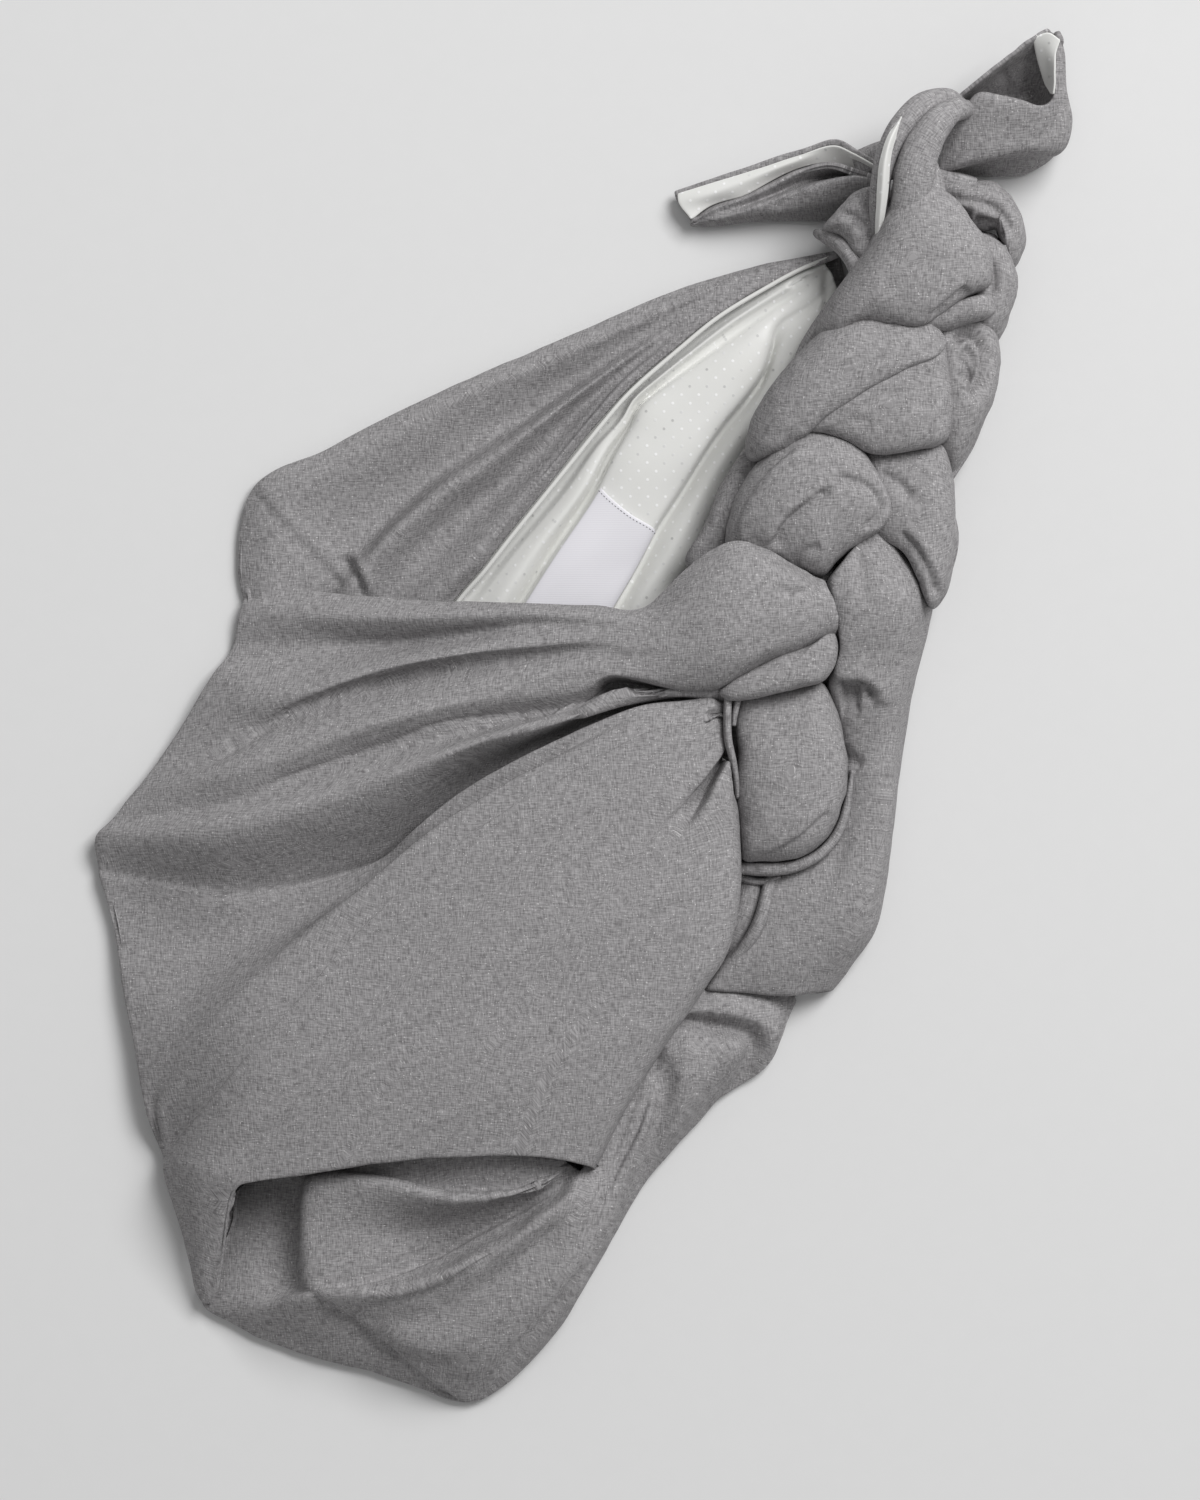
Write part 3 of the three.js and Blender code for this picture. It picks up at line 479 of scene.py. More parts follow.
# Outer cloth, band: the same cloth turned over to the front along the top left, soft and flat, from
# its fold to the mouth's rim. Nothing holds it but its own weight.
BAND_FOLDS = [
    ("outer fold", [(-133, 45, 2.6), (-137.6, 64, 3), (-131, 95, 4), (-100, 112, 5), (-72, 127, 5),
        (-44, 140, 5), (-16, 152, 5), (4, 160.5, 5), (26, 170, 5), (48, 178.2, 5.5), (72, 185, 6),
        (106, 191, 9)]),
    ("first roll", [(-127, 44, 7), (-125, 66, 9), (-121, 90, 12), (-94, 106, 14), (-67, 122, 15),
        (-40, 135.5, 15), (-14, 146, 14), (5.5, 155, 14), (28, 164.5, 12.4), (49, 174.4, 12),
        (72.6, 183.2, 11), (105.5, 190.9, 11)]),
    ("first valley", [(-108, 42, 5), (-97, 62, 6), (-83.6, 77, 5), (-64.6, 95, 5), (-43, 110, 6),
        (-24, 123, 6), (-6, 135.5, 7), (11, 146.5, 8.5), (32, 160.4, 10.8), (51, 171.8, 12.4),
        (73.3, 182, 12.6), (105, 190.7, 11.6)]),
    ("ridge", [(-100, 41, 8), (-88, 60, 14), (-77, 74, 17), (-58, 91, 18), (-37, 105.5, 18),
        (-18.5, 119, 18), (-2.5, 131.5, 17), (13, 143, 14.5), (33.8, 157.8, 13.6), (52, 169.8, 13.6),
        (73.8, 180.8, 13.6), (104.5, 190.5, 12.2)]),
    ("second valley", [(-84, 39, 7), (-71, 57, 7), (-61, 69, 7), (-46, 84, 7), (-29, 99, 8),
        (-12.5, 114, 9), (1, 127.5, 9.5), (15, 140, 11), (35.4, 155.8, 12.6), (52.9, 168, 13.6),
        (74.2, 179.6, 14), (104, 190.2, 12.8)]),
    ("rim roll", [(-68, 37, 11), (-54.5, 54.5, 14), (-45, 64, 16), (-33, 78.5, 17), (-20.5, 93, 17),
        (-6.5, 109.2, 17), (4.8, 122.8, 17), (17.2, 136.6, 15.8), (37.3, 153.6, 15), (53.8, 166.4, 14.8),
        (74.6, 178.4, 14.6), (103.5, 189.9, 13.4)]),
    ("rim", [(-62, 36, 9), (-48.5, 53, 10), (-40.5, 62.2, 12), (-29, 76.5, 12.5), (-17.3, 91, 13),
        (-4, 107.5, 13.5), (6.7, 120.8, 14), (18.6, 134.4, 14), (38.6, 152, 14), (54.6, 165, 14.5),
        (75, 177.4, 14.5), (103, 189.6, 14)]),
]
BAND_CREASES = [
    {"crease": "corner fold", "line": [(-134, 98), (-116, 78), (-104, 66),
        (-92, 54)], "deep": 1.0, "wide": 5, "side": 1},
    {"crease": "pinch", "line": [(-95, 69), (-91, 64), (-87, 56),
        (-86, 50)], "deep": 2.8, "wide": 4, "side": 1},
    {"crease": "rim seam", "line": [(36, 155), (16, 138.4), (4, 124.5), (-20, 95),
        (-44, 66)], "deep": 0.5, "wide": 1.6},
]


def with_floor_row(rows):
    """The fold lines with a first one on the floor, where the fold along the outline meets the back."""
    floor = [floor_turn(point, inner) for point, inner in zip(rows[0][1], rows[1][1])]
    return [("floor", floor, *rows[0][2:])] + rows


band = fold_grid(with_floor_row(BAND_FOLDS), steps=165, between=18, tucked=False)
band = crumple(band, seed=31, lumps=[(24, 0.7, 3.0), (10, 0.35, 2.0), (5, 0.12, 1.5)])
band = press(band, normals_of(band, 2), BAND_CREASES)
bag_band = cloth_piece("bag_band", band, CLOTH, gray_chambray, "outer_cloth", "gray_cloth")

# Outer cloth, bottom corner: the same cloth folded in on itself under the panel's edge, with its
# layers fanning out from the panel's lower right.
CORNER_FOLDS = [
    ("under the panel", [(-141, -190, 3), (-127, -179, 6), (-104, -173, 16), (-76, -170, 28),
        (-51, -170, 33), (-29, -171, 35), (-6, -174, 33)]),
    ("under layer", [(-141.5, -193, 3.5), (-127, -182, 6.5), (-109, -176.5, 14), (-90, -176, 26),
        (-76, -178, 31), (-51, -183.5, 33), (-29, -183, 35), (-13, -179.5, 35), (-6, -176, 33)]),
    ("flap crest", [(-142, -199, 4), (-127, -188, 7), (-113, -184, 12), (-107, -181, 30), (-78, -183, 38),
        (-52, -188.5, 40), (-30, -187, 41), (-14, -182, 38), (-6, -177, 33)]),
    ("flap hollow", [(-149, -217, 4), (-130, -207, 9), (-114, -204, 14), (-110, -203, 29), (-62, -202, 24),
        (-28, -189, 32), (-12, -182, 35), (-5, -176, 32)]),
    ("flap border", [(-153, -233, 4), (-132, -229, 13), (-114, -225, 18), (-107, -224, 27),
        (-56, -213, 24), (-29, -198, 29), (-10, -186, 32), (-3, -177, 30)]),
    ("bright roll", [(-143, -240, 4), (-127, -237, 14), (-110, -228, 27), (-72, -226, 37), (-50, -217, 41),
        (-23, -202, 43), (-6, -189, 42), (0, -178, 32)]),
    ("soft trough", [(-124, -249, 4), (-104, -244, 14), (-93, -236, 22), (-72, -237, 28), (-44, -226, 33),
        (-16, -206, 36), (-1, -190, 38), (2, -176, 30)]),
    ("diagonal crease", [(-102, -256, 4), (-90, -254, 10), (-78, -248, 17), (-60, -250, 26),
        (-32, -234, 32), (-8, -210, 35), (3, -190, 36), (4, -174, 29)]),
    ("toward the tip", [(-70, -265, 4), (-60, -262, 12), (-44, -258, 20), (-20, -238, 28), (-1, -212, 33),
        (7, -188, 34), (6, -171, 28)]),
    ("tip", [(-43, -273, 4), (-32, -260, 14), (-12, -234, 24), (4, -208, 31), (10, -184, 32),
        (8, -167, 28)]),
    ("right of the tip", [(-12, -248, 4), (0, -226, 22), (10, -200, 30), (13, -178, 30), (10, -161, 28)]),
    ("lower side", [(0, -230, 4), (10, -206, 22), (17, -182, 29), (19, -164, 29), (15, -147, 28)]),
    ("side strip", [(10, -212, 4), (20, -186, 20), (26, -164, 28), (28, -148, 28), (23, -131, 28)]),
    ("strip crease", [(20, -194, 4), (27, -176, 14), (32, -155, 23), (33, -141, 25), (28, -124, 27)]),
    ("third lobe left", [(30, -180, 4), (37, -164, 18), (41, -147, 27), (39, -135, 29), (31, -124, 28)]),
    ("third lobe right", [(48, -159, 4), (52, -149, 14), (54, -138, 24), (47, -130, 28),
        (33, -121.5, 28)]),
    ("third lobe top", [(55, -151, 4), (60.5, -140, 15), (63.5, -129, 22), (51, -126, 25),
        (34.5, -119.5, 27)]),
    ("dark fold", [(61, -147, 3), (66.5, -136, 8), (68.5, -126, 11), (61, -121.5, 13), (36, -117, 20)]),
    ("second lobe", [(76, -136, 4), (78, -124, 14), (66, -116, 20), (38.5, -113.5, 25)]),
    ("second lobe top", [(87, -112, 3), (81, -104, 6), (66, -98, 7), (48, -96, 9)]),
]
CORNER_CREASES = [
    {"crease": "flap border", "line": [(-108, -224), (-97, -224), (-84, -222), (-70, -218), (-56, -212),
        (-42, -204), (-29, -197), (-14, -188), (-6, -182)], "deep": 3.4, "wide": 5, "side": -1},
    {"crease": "below the roll", "line": [(-92, -233), (-72, -230), (-51, -222.5), (-29, -203),
        (-18, -192)], "deep": 1.8, "wide": 5},
    {"crease": "side fold", "line": [(33, -127), (26, -155), (13, -183),
        (3.4, -211)], "deep": 1.5, "wide": 3, "side": 1},
    {"crease": "second side fold", "line": [(28.6, -131), (20, -155), (9, -183),
        (-2, -214)], "deep": 1.1, "wide": 3},
    {"crease": "diagonal", "line": [(-110, -224), (-99, -232), (-86, -241), (-72, -253), (-56, -267),
        (-44, -274)], "deep": 2.2, "wide": 6, "side": 1},
    {"crease": "under layer", "line": [(-104, -176.5), (-76, -179), (-51, -184.6), (-29, -184),
        (-13, -181)], "deep": 2.4, "wide": 3.5, "side": -1},
]

corner = fold_grid(CORNER_FOLDS, steps=110, between=12)
corner = crumple(corner, seed=51, lumps=[(20, 0.6, 2.0), (9, 0.3, 1.5), (5, 0.12, 1.0)])
corner = press(corner, normals_of(corner, 3), CORNER_CREASES)
bag_corner = cloth_piece("bag_corner", corner, CLOTH, gray_chambray, "outer_cloth", "gray_cloth")

# Outer cloth, right flap: the same cloth opens out from under the plait and falls to the floor along
# the right side.
FLAP_FOLDS = [
    ("outline", [(100, -108.6, 4), (109, -95.6, 4), (117.4, -82.6, 4), (121.4, -66, 5), (128, -18, 5),
        (133, 10, 5), (140, 38, 6), (142, 54, 8), (134, 71, 14)], (95, -99, 3)),
    ("outer roll", [(97, -108.8, 11), (104.5, -95.6, 19), (112, -82, 25), (116.5, -66, 27),
        (122.5, -38, 28), (126, -6, 27), (133, 26, 30), (137, 54, 34), (126, 74, 34)], (92, -100, 3)),
    ("middle", [(85, -109.6, 16), (93, -92, 24), (105, -68, 29), (113, -38, 28), (118, -8, 32),
        (123, 22, 42), (128, 50, 50), (121, 76, 42)], (84, -101, 3)),
    ("inner roll", [(66, -108.4, 18), (74, -94, 24), (79, -80, 26), (82, -68, 26), (91, -57, 24),
        (102, -44, 24), (108, -28, 26), (108.4, -10, 30), (106, 6, 36), (103, 20, 44), (104, 34, 50),
        (101, 48, 53), (101, 56, 53), (108, 68, 50), (114, 76, 44)], (67, -100, 6)),
    ("inner edge", [(51, -107, 20), (61, -93, 22), (70.5, -80, 22), (73.5, -68, 22), (79, -56, 18),
        (94, -47, 17), (103.4, -31, 19), (104.4, -16, 23), (102.4, 2, 29), (99.4, 17, 38), (102.5, 28, 42),
        (101, 40, 46), (98, 53, 48), (98.5, 57, 48), (105, 66, 46), (111, 73, 42)], (53, -99, 8)),
    ("turned under", [(50, -106, 12), (59, -92, 9), (68, -79, 8), (71, -67, 8), (77, -55, 8), (91, -45, 8),
        (101, -30, 8), (102, -15, 10), (100, 2, 14), (97.5, 17, 20), (100.5, 28, 26), (99, 40, 30),
        (96.5, 53, 32), (97.5, 56, 32), (104, 65, 32), (110, 72, 34)], (52, -98, 6)),
]
FLAP_CREASES = [
    {"crease": "pocket", "line": [(100, 16.5), (107, 16.6), (113, 16), (116.6, 12.6),
        (116.4, 8)], "deep": 4.2, "wide": 7, "side": 1},
    {"crease": "below the pocket", "line": [(103, 10), (108, 10.4), (112, 10)], "deep": 5.5, "wide": 9},
    {"crease": "pit", "line": [(103, -12), (108, -14), (112, -18)], "deep": 2.0, "wide": 6},
    {"crease": "long dent", "line": [(112, 68), (112.6, 58), (112, 46)], "deep": 1.2, "wide": 6},
    {"crease": "under the leaf", "line": [(110, 72), (111, 62), (112, 50)], "deep": 1.4, "wide": 4},
    {"crease": "layer edge", "line": [(136, 60), (139, 46), (137, 28), (133, 8), (129, -14),
        (126, -34)], "deep": 0.9, "wide": 3, "side": 1},
    {"crease": "soft", "line": [(108, -40), (100, -60), (90, -76), (78, -90)], "deep": 1.0, "wide": 6},
]

flap = fold_grid(with_floor_row(FLAP_FOLDS), steps=160, between=16)
flap = crumple(flap, seed=71, lumps=[(22, 0.8, 2.5), (9, 0.3, 1.5), (5, 0.12, 1.0)])
flap = press(flap, normals_of(flap, 2), FLAP_CREASES)
bag_flap = cloth_piece("bag_flap", flap, CLOTH, gray_chambray, "outer_cloth", "gray_cloth")

# Outer cloth, back: the part of the cloth that the bag lies on, pressed flat by its own weight. It
# ends just inside the outline that the other parts' fold lines start from.
BACK = 2.6
BACK_INSET = 3.0
BACK_MIDDLE = (0, -20)
BACK_RINGS = {"first": 0.02, "count": 24, "sides": 299}
BACK_OUTLINE = BAND_FOLDS[0][1][:0:-1] + [row[1][0] for row in FRONT_FOLDS[:10] + FRONT_FOLDS[13:16]]
BACK_OUTLINE += [row[1][0] for row in CORNER_FOLDS[3:]] + FLAP_FOLDS[0][1]


def back_mesh():
    """Points, faces and UVs of a flat slab, in rings round its middle."""
    outline = np.array([point[:2] for point in BACK_OUTLINE], float)
    outline = outline + unit(BACK_MIDDLE - outline) * BACK_INSET
    edge = evenly(np.concatenate([outline, outline[:1]]), BACK_RINGS["sides"])
    shares = np.linspace(BACK_RINGS["first"], 1, BACK_RINGS["count"])
    rings = np.stack([BACK_MIDDLE + (edge - BACK_MIDDLE) * share for share in shares])
    flat = rings.reshape(-1, 2)
    count = len(flat)
    upper = np.concatenate([flat, np.full((count, 1), BACK)], axis=1)
    index = np.arange(count).reshape(rings.shape[:2])
    after = np.roll(index, -1, axis=1)
    top = np.stack([index[:-1], index[1:], after[1:], after[:-1]], axis=-1).reshape(-1, 4)
    wall = np.stack([index[-1], index[-1] + count, after[-1] + count, after[-1]], axis=-1)
    middle = index[0].tolist()
    faces = top.tolist() + (top[:, ::-1] + count).tolist() + wall.tolist()
    faces += [middle, [k + count for k in reversed(middle)]]
    return np.concatenate([upper, upper * (1, 1, 0)]), faces, np.concatenate([flat, flat])


bag_back = mesh_piece("bag_back", *back_mesh(), gray_chambray, "outer_cloth", "gray_cloth")

# Lining: off-white satin with a woven pin dot, sewn inside the gray cloth. It shows in the mouth,
# where its folds fan out from the knot and run in under the front.
SATIN = 1.2
LINING_LIFT = 0.4
LINING_FOLDS = [
    ("under the band", [(-74, 35, 4), (-56, 57, 4), (-27, 94, 4), (-4, 122, 4), (26, 149, 5), (60, 172, 6),
        (94, 186, 7)]),
    ("rim valley", [(-58, 32, 5), (-47, 47, 5), (-28, 71, 5), (-8, 95, 5), (5.4, 112.7, 5.5),
        (15.6, 123.8, 6), (20.5, 131.5, 6.5), (31.4, 141.2, 7.5), (44.8, 152, 8.5), (58.7, 162.6, 9.5),
        (70.4, 170.2, 10.5), (85.7, 179.4, 11), (97.5, 185.2, 10.6)]),
    ("strip", [(-50, 33, 7), (-41, 47, 8), (-24, 70, 9), (-4, 94.6, 10), (7.4, 111.4, 10.5),
        (17, 122.6, 11), (21.6, 130.4, 11.5), (32.6, 139.9, 12), (46, 150.4, 12.5), (60, 160.9, 12.8),
        (71.7, 168.6, 12.8), (86.8, 177.9, 12.2), (98, 184.5, 11)]),
    ("left panel", [(-42, 33, 9), (-33, 46.6, 11), (-18, 69.4, 12), (0.6, 93.8, 12), (9.9, 109.8, 11),
        (18.3, 121.4, 9.5), (22.8, 129.2, 9), (33.8, 138.6, 9.4), (47.2, 148.8, 9.6), (61.4, 159.1, 10),
        (72.9, 167, 11), (87.8, 176.5, 11.4), (98.4, 183.9, 10.8)]),
    ("left crease", [(-34, 32, 5), (-25, 46, 5), (-11, 69, 5), (5, 93, 5), (12.6, 107.9, 5.4),
        (19.7, 120.2, 6), (23.9, 128.1, 6.8), (34.9, 137.3, 8), (48.4, 147.2, 9), (62.7, 157.4, 9.6),
        (74.1, 165.3, 10.6), (88.9, 175, 11), (98.9, 183.2, 10.6)]),
    ("wide panel left", [(-32, 32, 9), (-23.5, 45.5, 11), (-9.5, 68, 12), (6.5, 92, 12), (14, 107, 13),
        (21, 119, 13), (25, 127, 13), (36, 136, 13), (49.6, 145.6, 13), (64, 155.6, 13),
        (75.4, 163.6, 12.8), (90, 173.6, 11.8), (99.4, 182.6, 10.4)]),
    ("wide panel", [(-14, 30, 11), (-6, 47, 13), (8, 66, 14), (20, 86, 15), (32, 106, 16), (46, 126, 16),
        (60, 145, 16), (70, 156, 15), (77, 162.4, 13.6), (91.2, 172, 12.4), (100.2, 181, 11)]),
    ("wide panel right", [(2, 30, 10), (11, 45, 12), (22, 64, 12), (31, 81, 13), (40, 95, 13),
        (48, 108, 14), (57, 121, 14), (66, 132, 14), (72, 141, 14), (75.4, 152, 14), (78.6, 161, 13.2),
        (92.2, 170.4, 12.4), (101, 179.2, 11.4)]),
    ("right crease", [(4, 28, 4), (12.5, 44, 4), (23.5, 63, 4), (32.5, 80, 5), (41.5, 94, 5.4),
        (49.5, 107, 5.6), (58.5, 120, 5.6), (67.5, 131, 5.6), (73.6, 140, 6), (77.4, 150.6, 8.5),
        (80.2, 159.6, 11.5), (93.4, 168.8, 12), (101.7, 177.4, 11.4)]),
    ("right panel", [(14, 28, 6), (24, 50, 8), (34, 66, 9), (44, 84, 9), (53, 100, 9), (62, 114, 8),
        (69, 126, 8), (75, 137, 9), (80, 149, 12), (84.6, 158, 13.5), (95, 167.4, 13),
        (102.4, 175.4, 12)]),
    ("far panel", [(28, 28, 4), (36, 50, 4), (48, 66, 4), (58, 90, 4), (68, 110, 5), (74, 122, 8),
        (81, 134, 10), (88, 149, 12), (97.4, 163, 12.6), (103, 173.4, 11.6)]),
    ("under the plait", [(44, 22, 4), (52, 44, 3.5), (60, 68, 3.5), (72, 90, 3.5), (86, 114, 4),
        (98, 138, 5), (106, 168, 6)]),
]
LINING_CREASES = [
    {"crease": "wide panel, left", "line": [(-33, 36), (-24.6, 47), (-10.6, 69.4), (5.4, 93.4),
        (13, 108.4), (19, 119)], "deep": 1.3, "wide": 2.4, "side": -1},
    {"crease": "wide panel, right", "line": [(12, 44.6), (23, 63.6), (32, 80.6), (41, 94.6), (49, 107.6),
        (58, 120.6), (67, 131.6), (73, 140.6), (76.4, 151)], "deep": 1.2, "wide": 2.6, "side": 1},
    {"crease": "far fold", "line": [(99, 185), (98.4, 172), (98, 158),
        (96.8, 152)], "deep": 1.4, "wide": 2.5},
    {"crease": "hollow", "line": [(84, 176), (88, 178.5), (92, 179.5)], "deep": 2.4, "wide": 3},
]

# Satin with a pin dot: smooth and softly shiny, with dots about 1 mm wide, 4.8 mm apart, in staggered
# rows. Each dot's colour is picked at random from white to gray, mostly white: a painted highlight on the
# white dots and painted shade on the gray ones.
DOT_PITCH = 4.8 * MM
DOT_RADIUS = 0.6 * MM


def pin_dot_satin(name, ground, cloudy, bright, painted_shade_dot):
    """Satin whose ground is a little cloudy, with dots painted at random from a highlight to shade."""
    material, tree = new_material(name)
    cloth = node(tree, "ShaderNodeUVMap", {"uv_map": "cloth"}).outputs[0]
    turned = node(tree, "ShaderNodeMapping", Vector=cloth, Rotation=(0, 0, math.radians(45)),
                  Scale=(1 / DOT_PITCH, 1 / DOT_PITCH, 1)).outputs[0]
    cell = node(tree, "ShaderNodeVectorMath", {"operation": "FLOOR"}, _0=turned).outputs[0]
    inside = node(tree, "ShaderNodeVectorMath", {"operation": "FRACTION"}, _0=turned).outputs[0]
    offset = node(tree, "ShaderNodeVectorMath", {"operation": "SUBTRACT"}, _0=inside, _1=(0.5, 0.5, 0))
    far = node(tree, "ShaderNodeVectorMath", {"operation": "LENGTH"}, _0=offset.outputs[0]).outputs["Value"]
    radius = DOT_RADIUS / DOT_PITCH
    dots = node(tree, "ShaderNodeMapRange", {"interpolation_type": "SMOOTHSTEP"}, Value=far,
                From_Min=radius * 1.2, From_Max=radius * 0.6).outputs[0]
    # Each dot takes a random colour, mostly the painted highlight and some the painted shade.
    chance = node(tree, "ShaderNodeTexWhiteNoise", {"noise_dimensions": "2D"}, Vector=cell).outputs["Value"]
    mostly_painted_highlight = node(tree, "ShaderNodeMath", {"operation": "POWER"}, _0=chance, _1=2.5).outputs[0]
    clouds = node(tree, "ShaderNodeTexNoise", Vector=cloth, Scale=60.0, Detail=3.0).outputs["Fac"]
    colour = mixed(tree, dots, mixed(tree, clouds, ground, cloudy), mixed(tree, mostly_painted_highlight, bright, painted_shade_dot))
    bump = node(tree, "ShaderNodeBump", Strength=0.3, Distance=0.0002, Height=dots).outputs[0]
    finish_material(tree, Base_Color=colour, Roughness=0.42, Sheen_Weight=0.2, Specular_IOR_Level=0.5,
                    Normal=bump)
    return material


# The white dot colour is a painted highlight and the gray dot colour is painted shade.
white_satin = pin_dot_satin("off-white pin-dot satin", "#e7e7e3", "#ececea", "#ffffff", "#c4c4c2")

lining = fold_grid(LINING_FOLDS, steps=140, between=12, tucked=False)
lining = lining + normals_of(lining, 1) * LINING_LIFT
lining = crumple(lining, seed=91, lumps=[(18, 0.6, 4.0), (7, 0.2, 3.0)])
lining = press(lining, normals_of(lining, 1), LINING_CREASES)
bag_lining = cloth_piece("bag_lining", lining, SATIN, white_satin, "lining", "white_satin", 1)

# Label: a strip of white woven satin, left bare, sewn on the lining's wide fold along its top edge
# and sides. Its place is given in fold lines of the lining, and in shares of the way along them.
LABEL = 0.8
LABEL_GAP = 0.35
LABEL_BETWEEN = (5.05, 6.98)
LABEL_ENDS = {"front": 0.06, "top left": 0.365, "top right": 0.305}
RIB = 0.9 * MM


def label_satin():
    """Plain satin with fine ribs across."""
    material, tree = new_material("white woven label satin")
    cloth = node(tree, "ShaderNodeUVMap", {"uv_map": "cloth"}).outputs[0]
    ribs = node(tree, "ShaderNodeTexWave", {"wave_type": "BANDS", "bands_direction": "Y"}, Vector=cloth,
                Scale=math.pi / 10 / RIB).outputs["Fac"]
    bump = node(tree, "ShaderNodeBump", Strength=0.2, Distance=0.0001, Height=ribs).outputs[0]
    finish_material(tree, Base_Color=mixed(tree, ribs, "#efedf3", "#f3f2f7"), Roughness=0.38, Normal=bump)
    return material


def label_grid(grid, steps=60):
    """The part of the lining's grid that the label lies on."""
    rows, columns = grid.shape[0] - 1, grid.shape[1] - 1
    first, last = (round(line / (len(LINING_FOLDS) - 1) * rows) for line in LABEL_BETWEEN)
    part = []
    for j in range(first, last + 1):
        slant = (LABEL_ENDS["top right"] - LABEL_ENDS["top left"]) * (j - first) / (last - first)
        at = np.linspace(LABEL_ENDS["front"], LABEL_ENDS["top left"] + slant, steps) * columns
        part.append([np.interp(at, np.arange(columns + 1), grid[j, :, k]) for k in range(3)])
    return np.array(part).transpose(0, 2, 1)


patch = label_grid(lining)
patch = patch + normals_of(patch, 2) * (LABEL_GAP + LABEL)
bag_label = cloth_piece("bag_label", patch, LABEL, label_satin(), "label", "label_satin")

# Stitches and rim: fine dark stitches hold the label's top edge, and the lining's turned edge shows
# as a narrow white roll along the rim of the band. Both follow a path.
STITCH = {"pitch": 1.5, "thick": 0.28, "long": 0.9, "lift": 0.05, "seed": 4}
RIM_ROLL = 0.9
RIM_LINE = [(-61, 33.5, 8), (-47, 52, 9.5), (-39, 61, 11), (-28, 75, 12), (-16.2, 89.6, 12.6),
    (-3, 106, 13), (7.8, 119.4, 13.4), (19.6, 133, 13.4), (39.6, 150.6, 13.4), (55.6, 163.6, 13.8),
    (76, 176, 13.8), (89, 183, 13.6), (103, 188.4, 13.2)]


def path_tree(name, **inputs):
    """A new node tree over a path, with its named inputs, and its input node's outputs."""
    tree = bpy.data.node_groups.new(name, "GeometryNodeTree")
    tree.interface.new_socket("Geometry", in_out="INPUT", socket_type="NodeSocketGeometry")
    for label, kind in inputs.items():
        tree.interface.new_socket(label, in_out="INPUT", socket_type="NodeSocket" + kind)
    tree.interface.new_socket("Geometry", in_out="OUTPUT", socket_type="NodeSocketGeometry")
    return tree, node(tree, "NodeGroupInput").outputs


def finish_tree(tree, geometry, material):
    """Ends a tree with real geometry in its material."""
    real = node(tree, "GeometryNodeRealizeInstances", Geometry=geometry)
    coloured = node(tree, "GeometryNodeSetMaterial", Geometry=real.outputs[0], Material=material)
    node(tree, "NodeGroupOutput", Geometry=coloured.outputs[0])
    return tree


def stitch_tree():
    """A row of small stitches of uneven length."""
    tree, given = path_tree("stitches along a path", Pitch="Float", Thick="Float", Long="Float", Seed="Int",
                            Thread="Material")
    curve = node(tree, "GeometryNodeMeshToCurve", Mesh=given["Geometry"]).outputs[0]
    spots = node(tree, "GeometryNodeResampleCurve", {"mode": "LENGTH"}, Curve=curve, Length=given["Pitch"])
    tangent = node(tree, "GeometryNodeInputTangent").outputs[0]
    turn = node(tree, "FunctionNodeAlignRotationToVector", {"axis": "Z"}, Vector=tangent).outputs[0]
    chance = node(tree, "FunctionNodeRandomValue", {"data_type": "FLOAT"}, _2=0.8, _3=1.1, Seed=given["Seed"])
    long = node(tree, "ShaderNodeMath", {"operation": "MULTIPLY"}, _0=chance.outputs[1], _1=given["Long"])
    size = node(tree, "ShaderNodeCombineXYZ", X=given["Thick"], Y=given["Thick"], Z=long.outputs[0])
    stitch = node(tree, "GeometryNodeMeshIcoSphere", Radius=0.5, Subdivisions=2).outputs[0]
    row = node(tree, "GeometryNodeInstanceOnPoints", Points=spots.outputs[0], Instance=stitch, Rotation=turn,
               Scale=size.outputs[0])
    return finish_tree(tree, row.outputs[0], given["Thread"])


def roll_tree():
    """A smooth round roll with closed ends."""
    tree, given = path_tree("roll along a path", Radius="Float", Cloth="Material")
    curve = node(tree, "GeometryNodeMeshToCurve", Mesh=given["Geometry"]).outputs[0]
    ring = node(tree, "GeometryNodeCurvePrimitiveCircle", Resolution=10, Radius=given["Radius"]).outputs[0]
    tube = node(tree, "GeometryNodeCurveToMesh", Curve=curve, Profile_Curve=ring, Fill_Caps=True)
    smooth = node(tree, "GeometryNodeSetShadeSmooth", Geometry=tube.outputs[0])
    return finish_tree(tree, smooth.outputs[0], given["Cloth"])


def along_path(name, points, tree, values, replaced):
    """The piece that a node tree makes along a path of points."""
    mesh = bpy.data.meshes.new(name)
    mesh.from_pydata((points * MM).tolist(), [(k, k + 1) for k in range(len(points) - 1)], [])
    piece = bpy.data.objects.new(name, mesh)
    bpy.context.scene.collection.objects.link(piece)
    grown = piece.modifiers.new("path", "NODES")
    grown.node_group = tree
    for socket in tree.interface.items_tree:
        if socket.in_out == "INPUT" and socket.name in values:
            grown[socket.identifier] = values[socket.name]
    made = bpy.data.meshes.new_from_object(piece.evaluated_get(bpy.context.evaluated_depsgraph_get()))
    piece.modifiers.clear()
    piece.data = made
    return belongs(piece, replaced)


# Sewing thread: dark gray spun polyester, nearly matt.
thread, tree = new_material("dark sewing thread")
finish_material(tree, Base_Color=linear("#4a4a50"), Roughness=0.7)

top_edge = patch[:, -2] + normals_of(patch, 2)[:, -2] * STITCH["lift"]
label_stitches = along_path("label_stitches", top_edge, stitch_tree(), {
    "Pitch": STITCH["pitch"] * MM, "Thick": STITCH["thick"] * MM, "Long": STITCH["long"] * MM,
    "Seed": STITCH["seed"], "Thread": thread}, "label")
rim_roll = along_path("rim_roll", evenly(RIM_LINE, 160), roll_tree(), {
    "Radius": RIM_ROLL * MM, "Cloth": white_satin}, "lining")

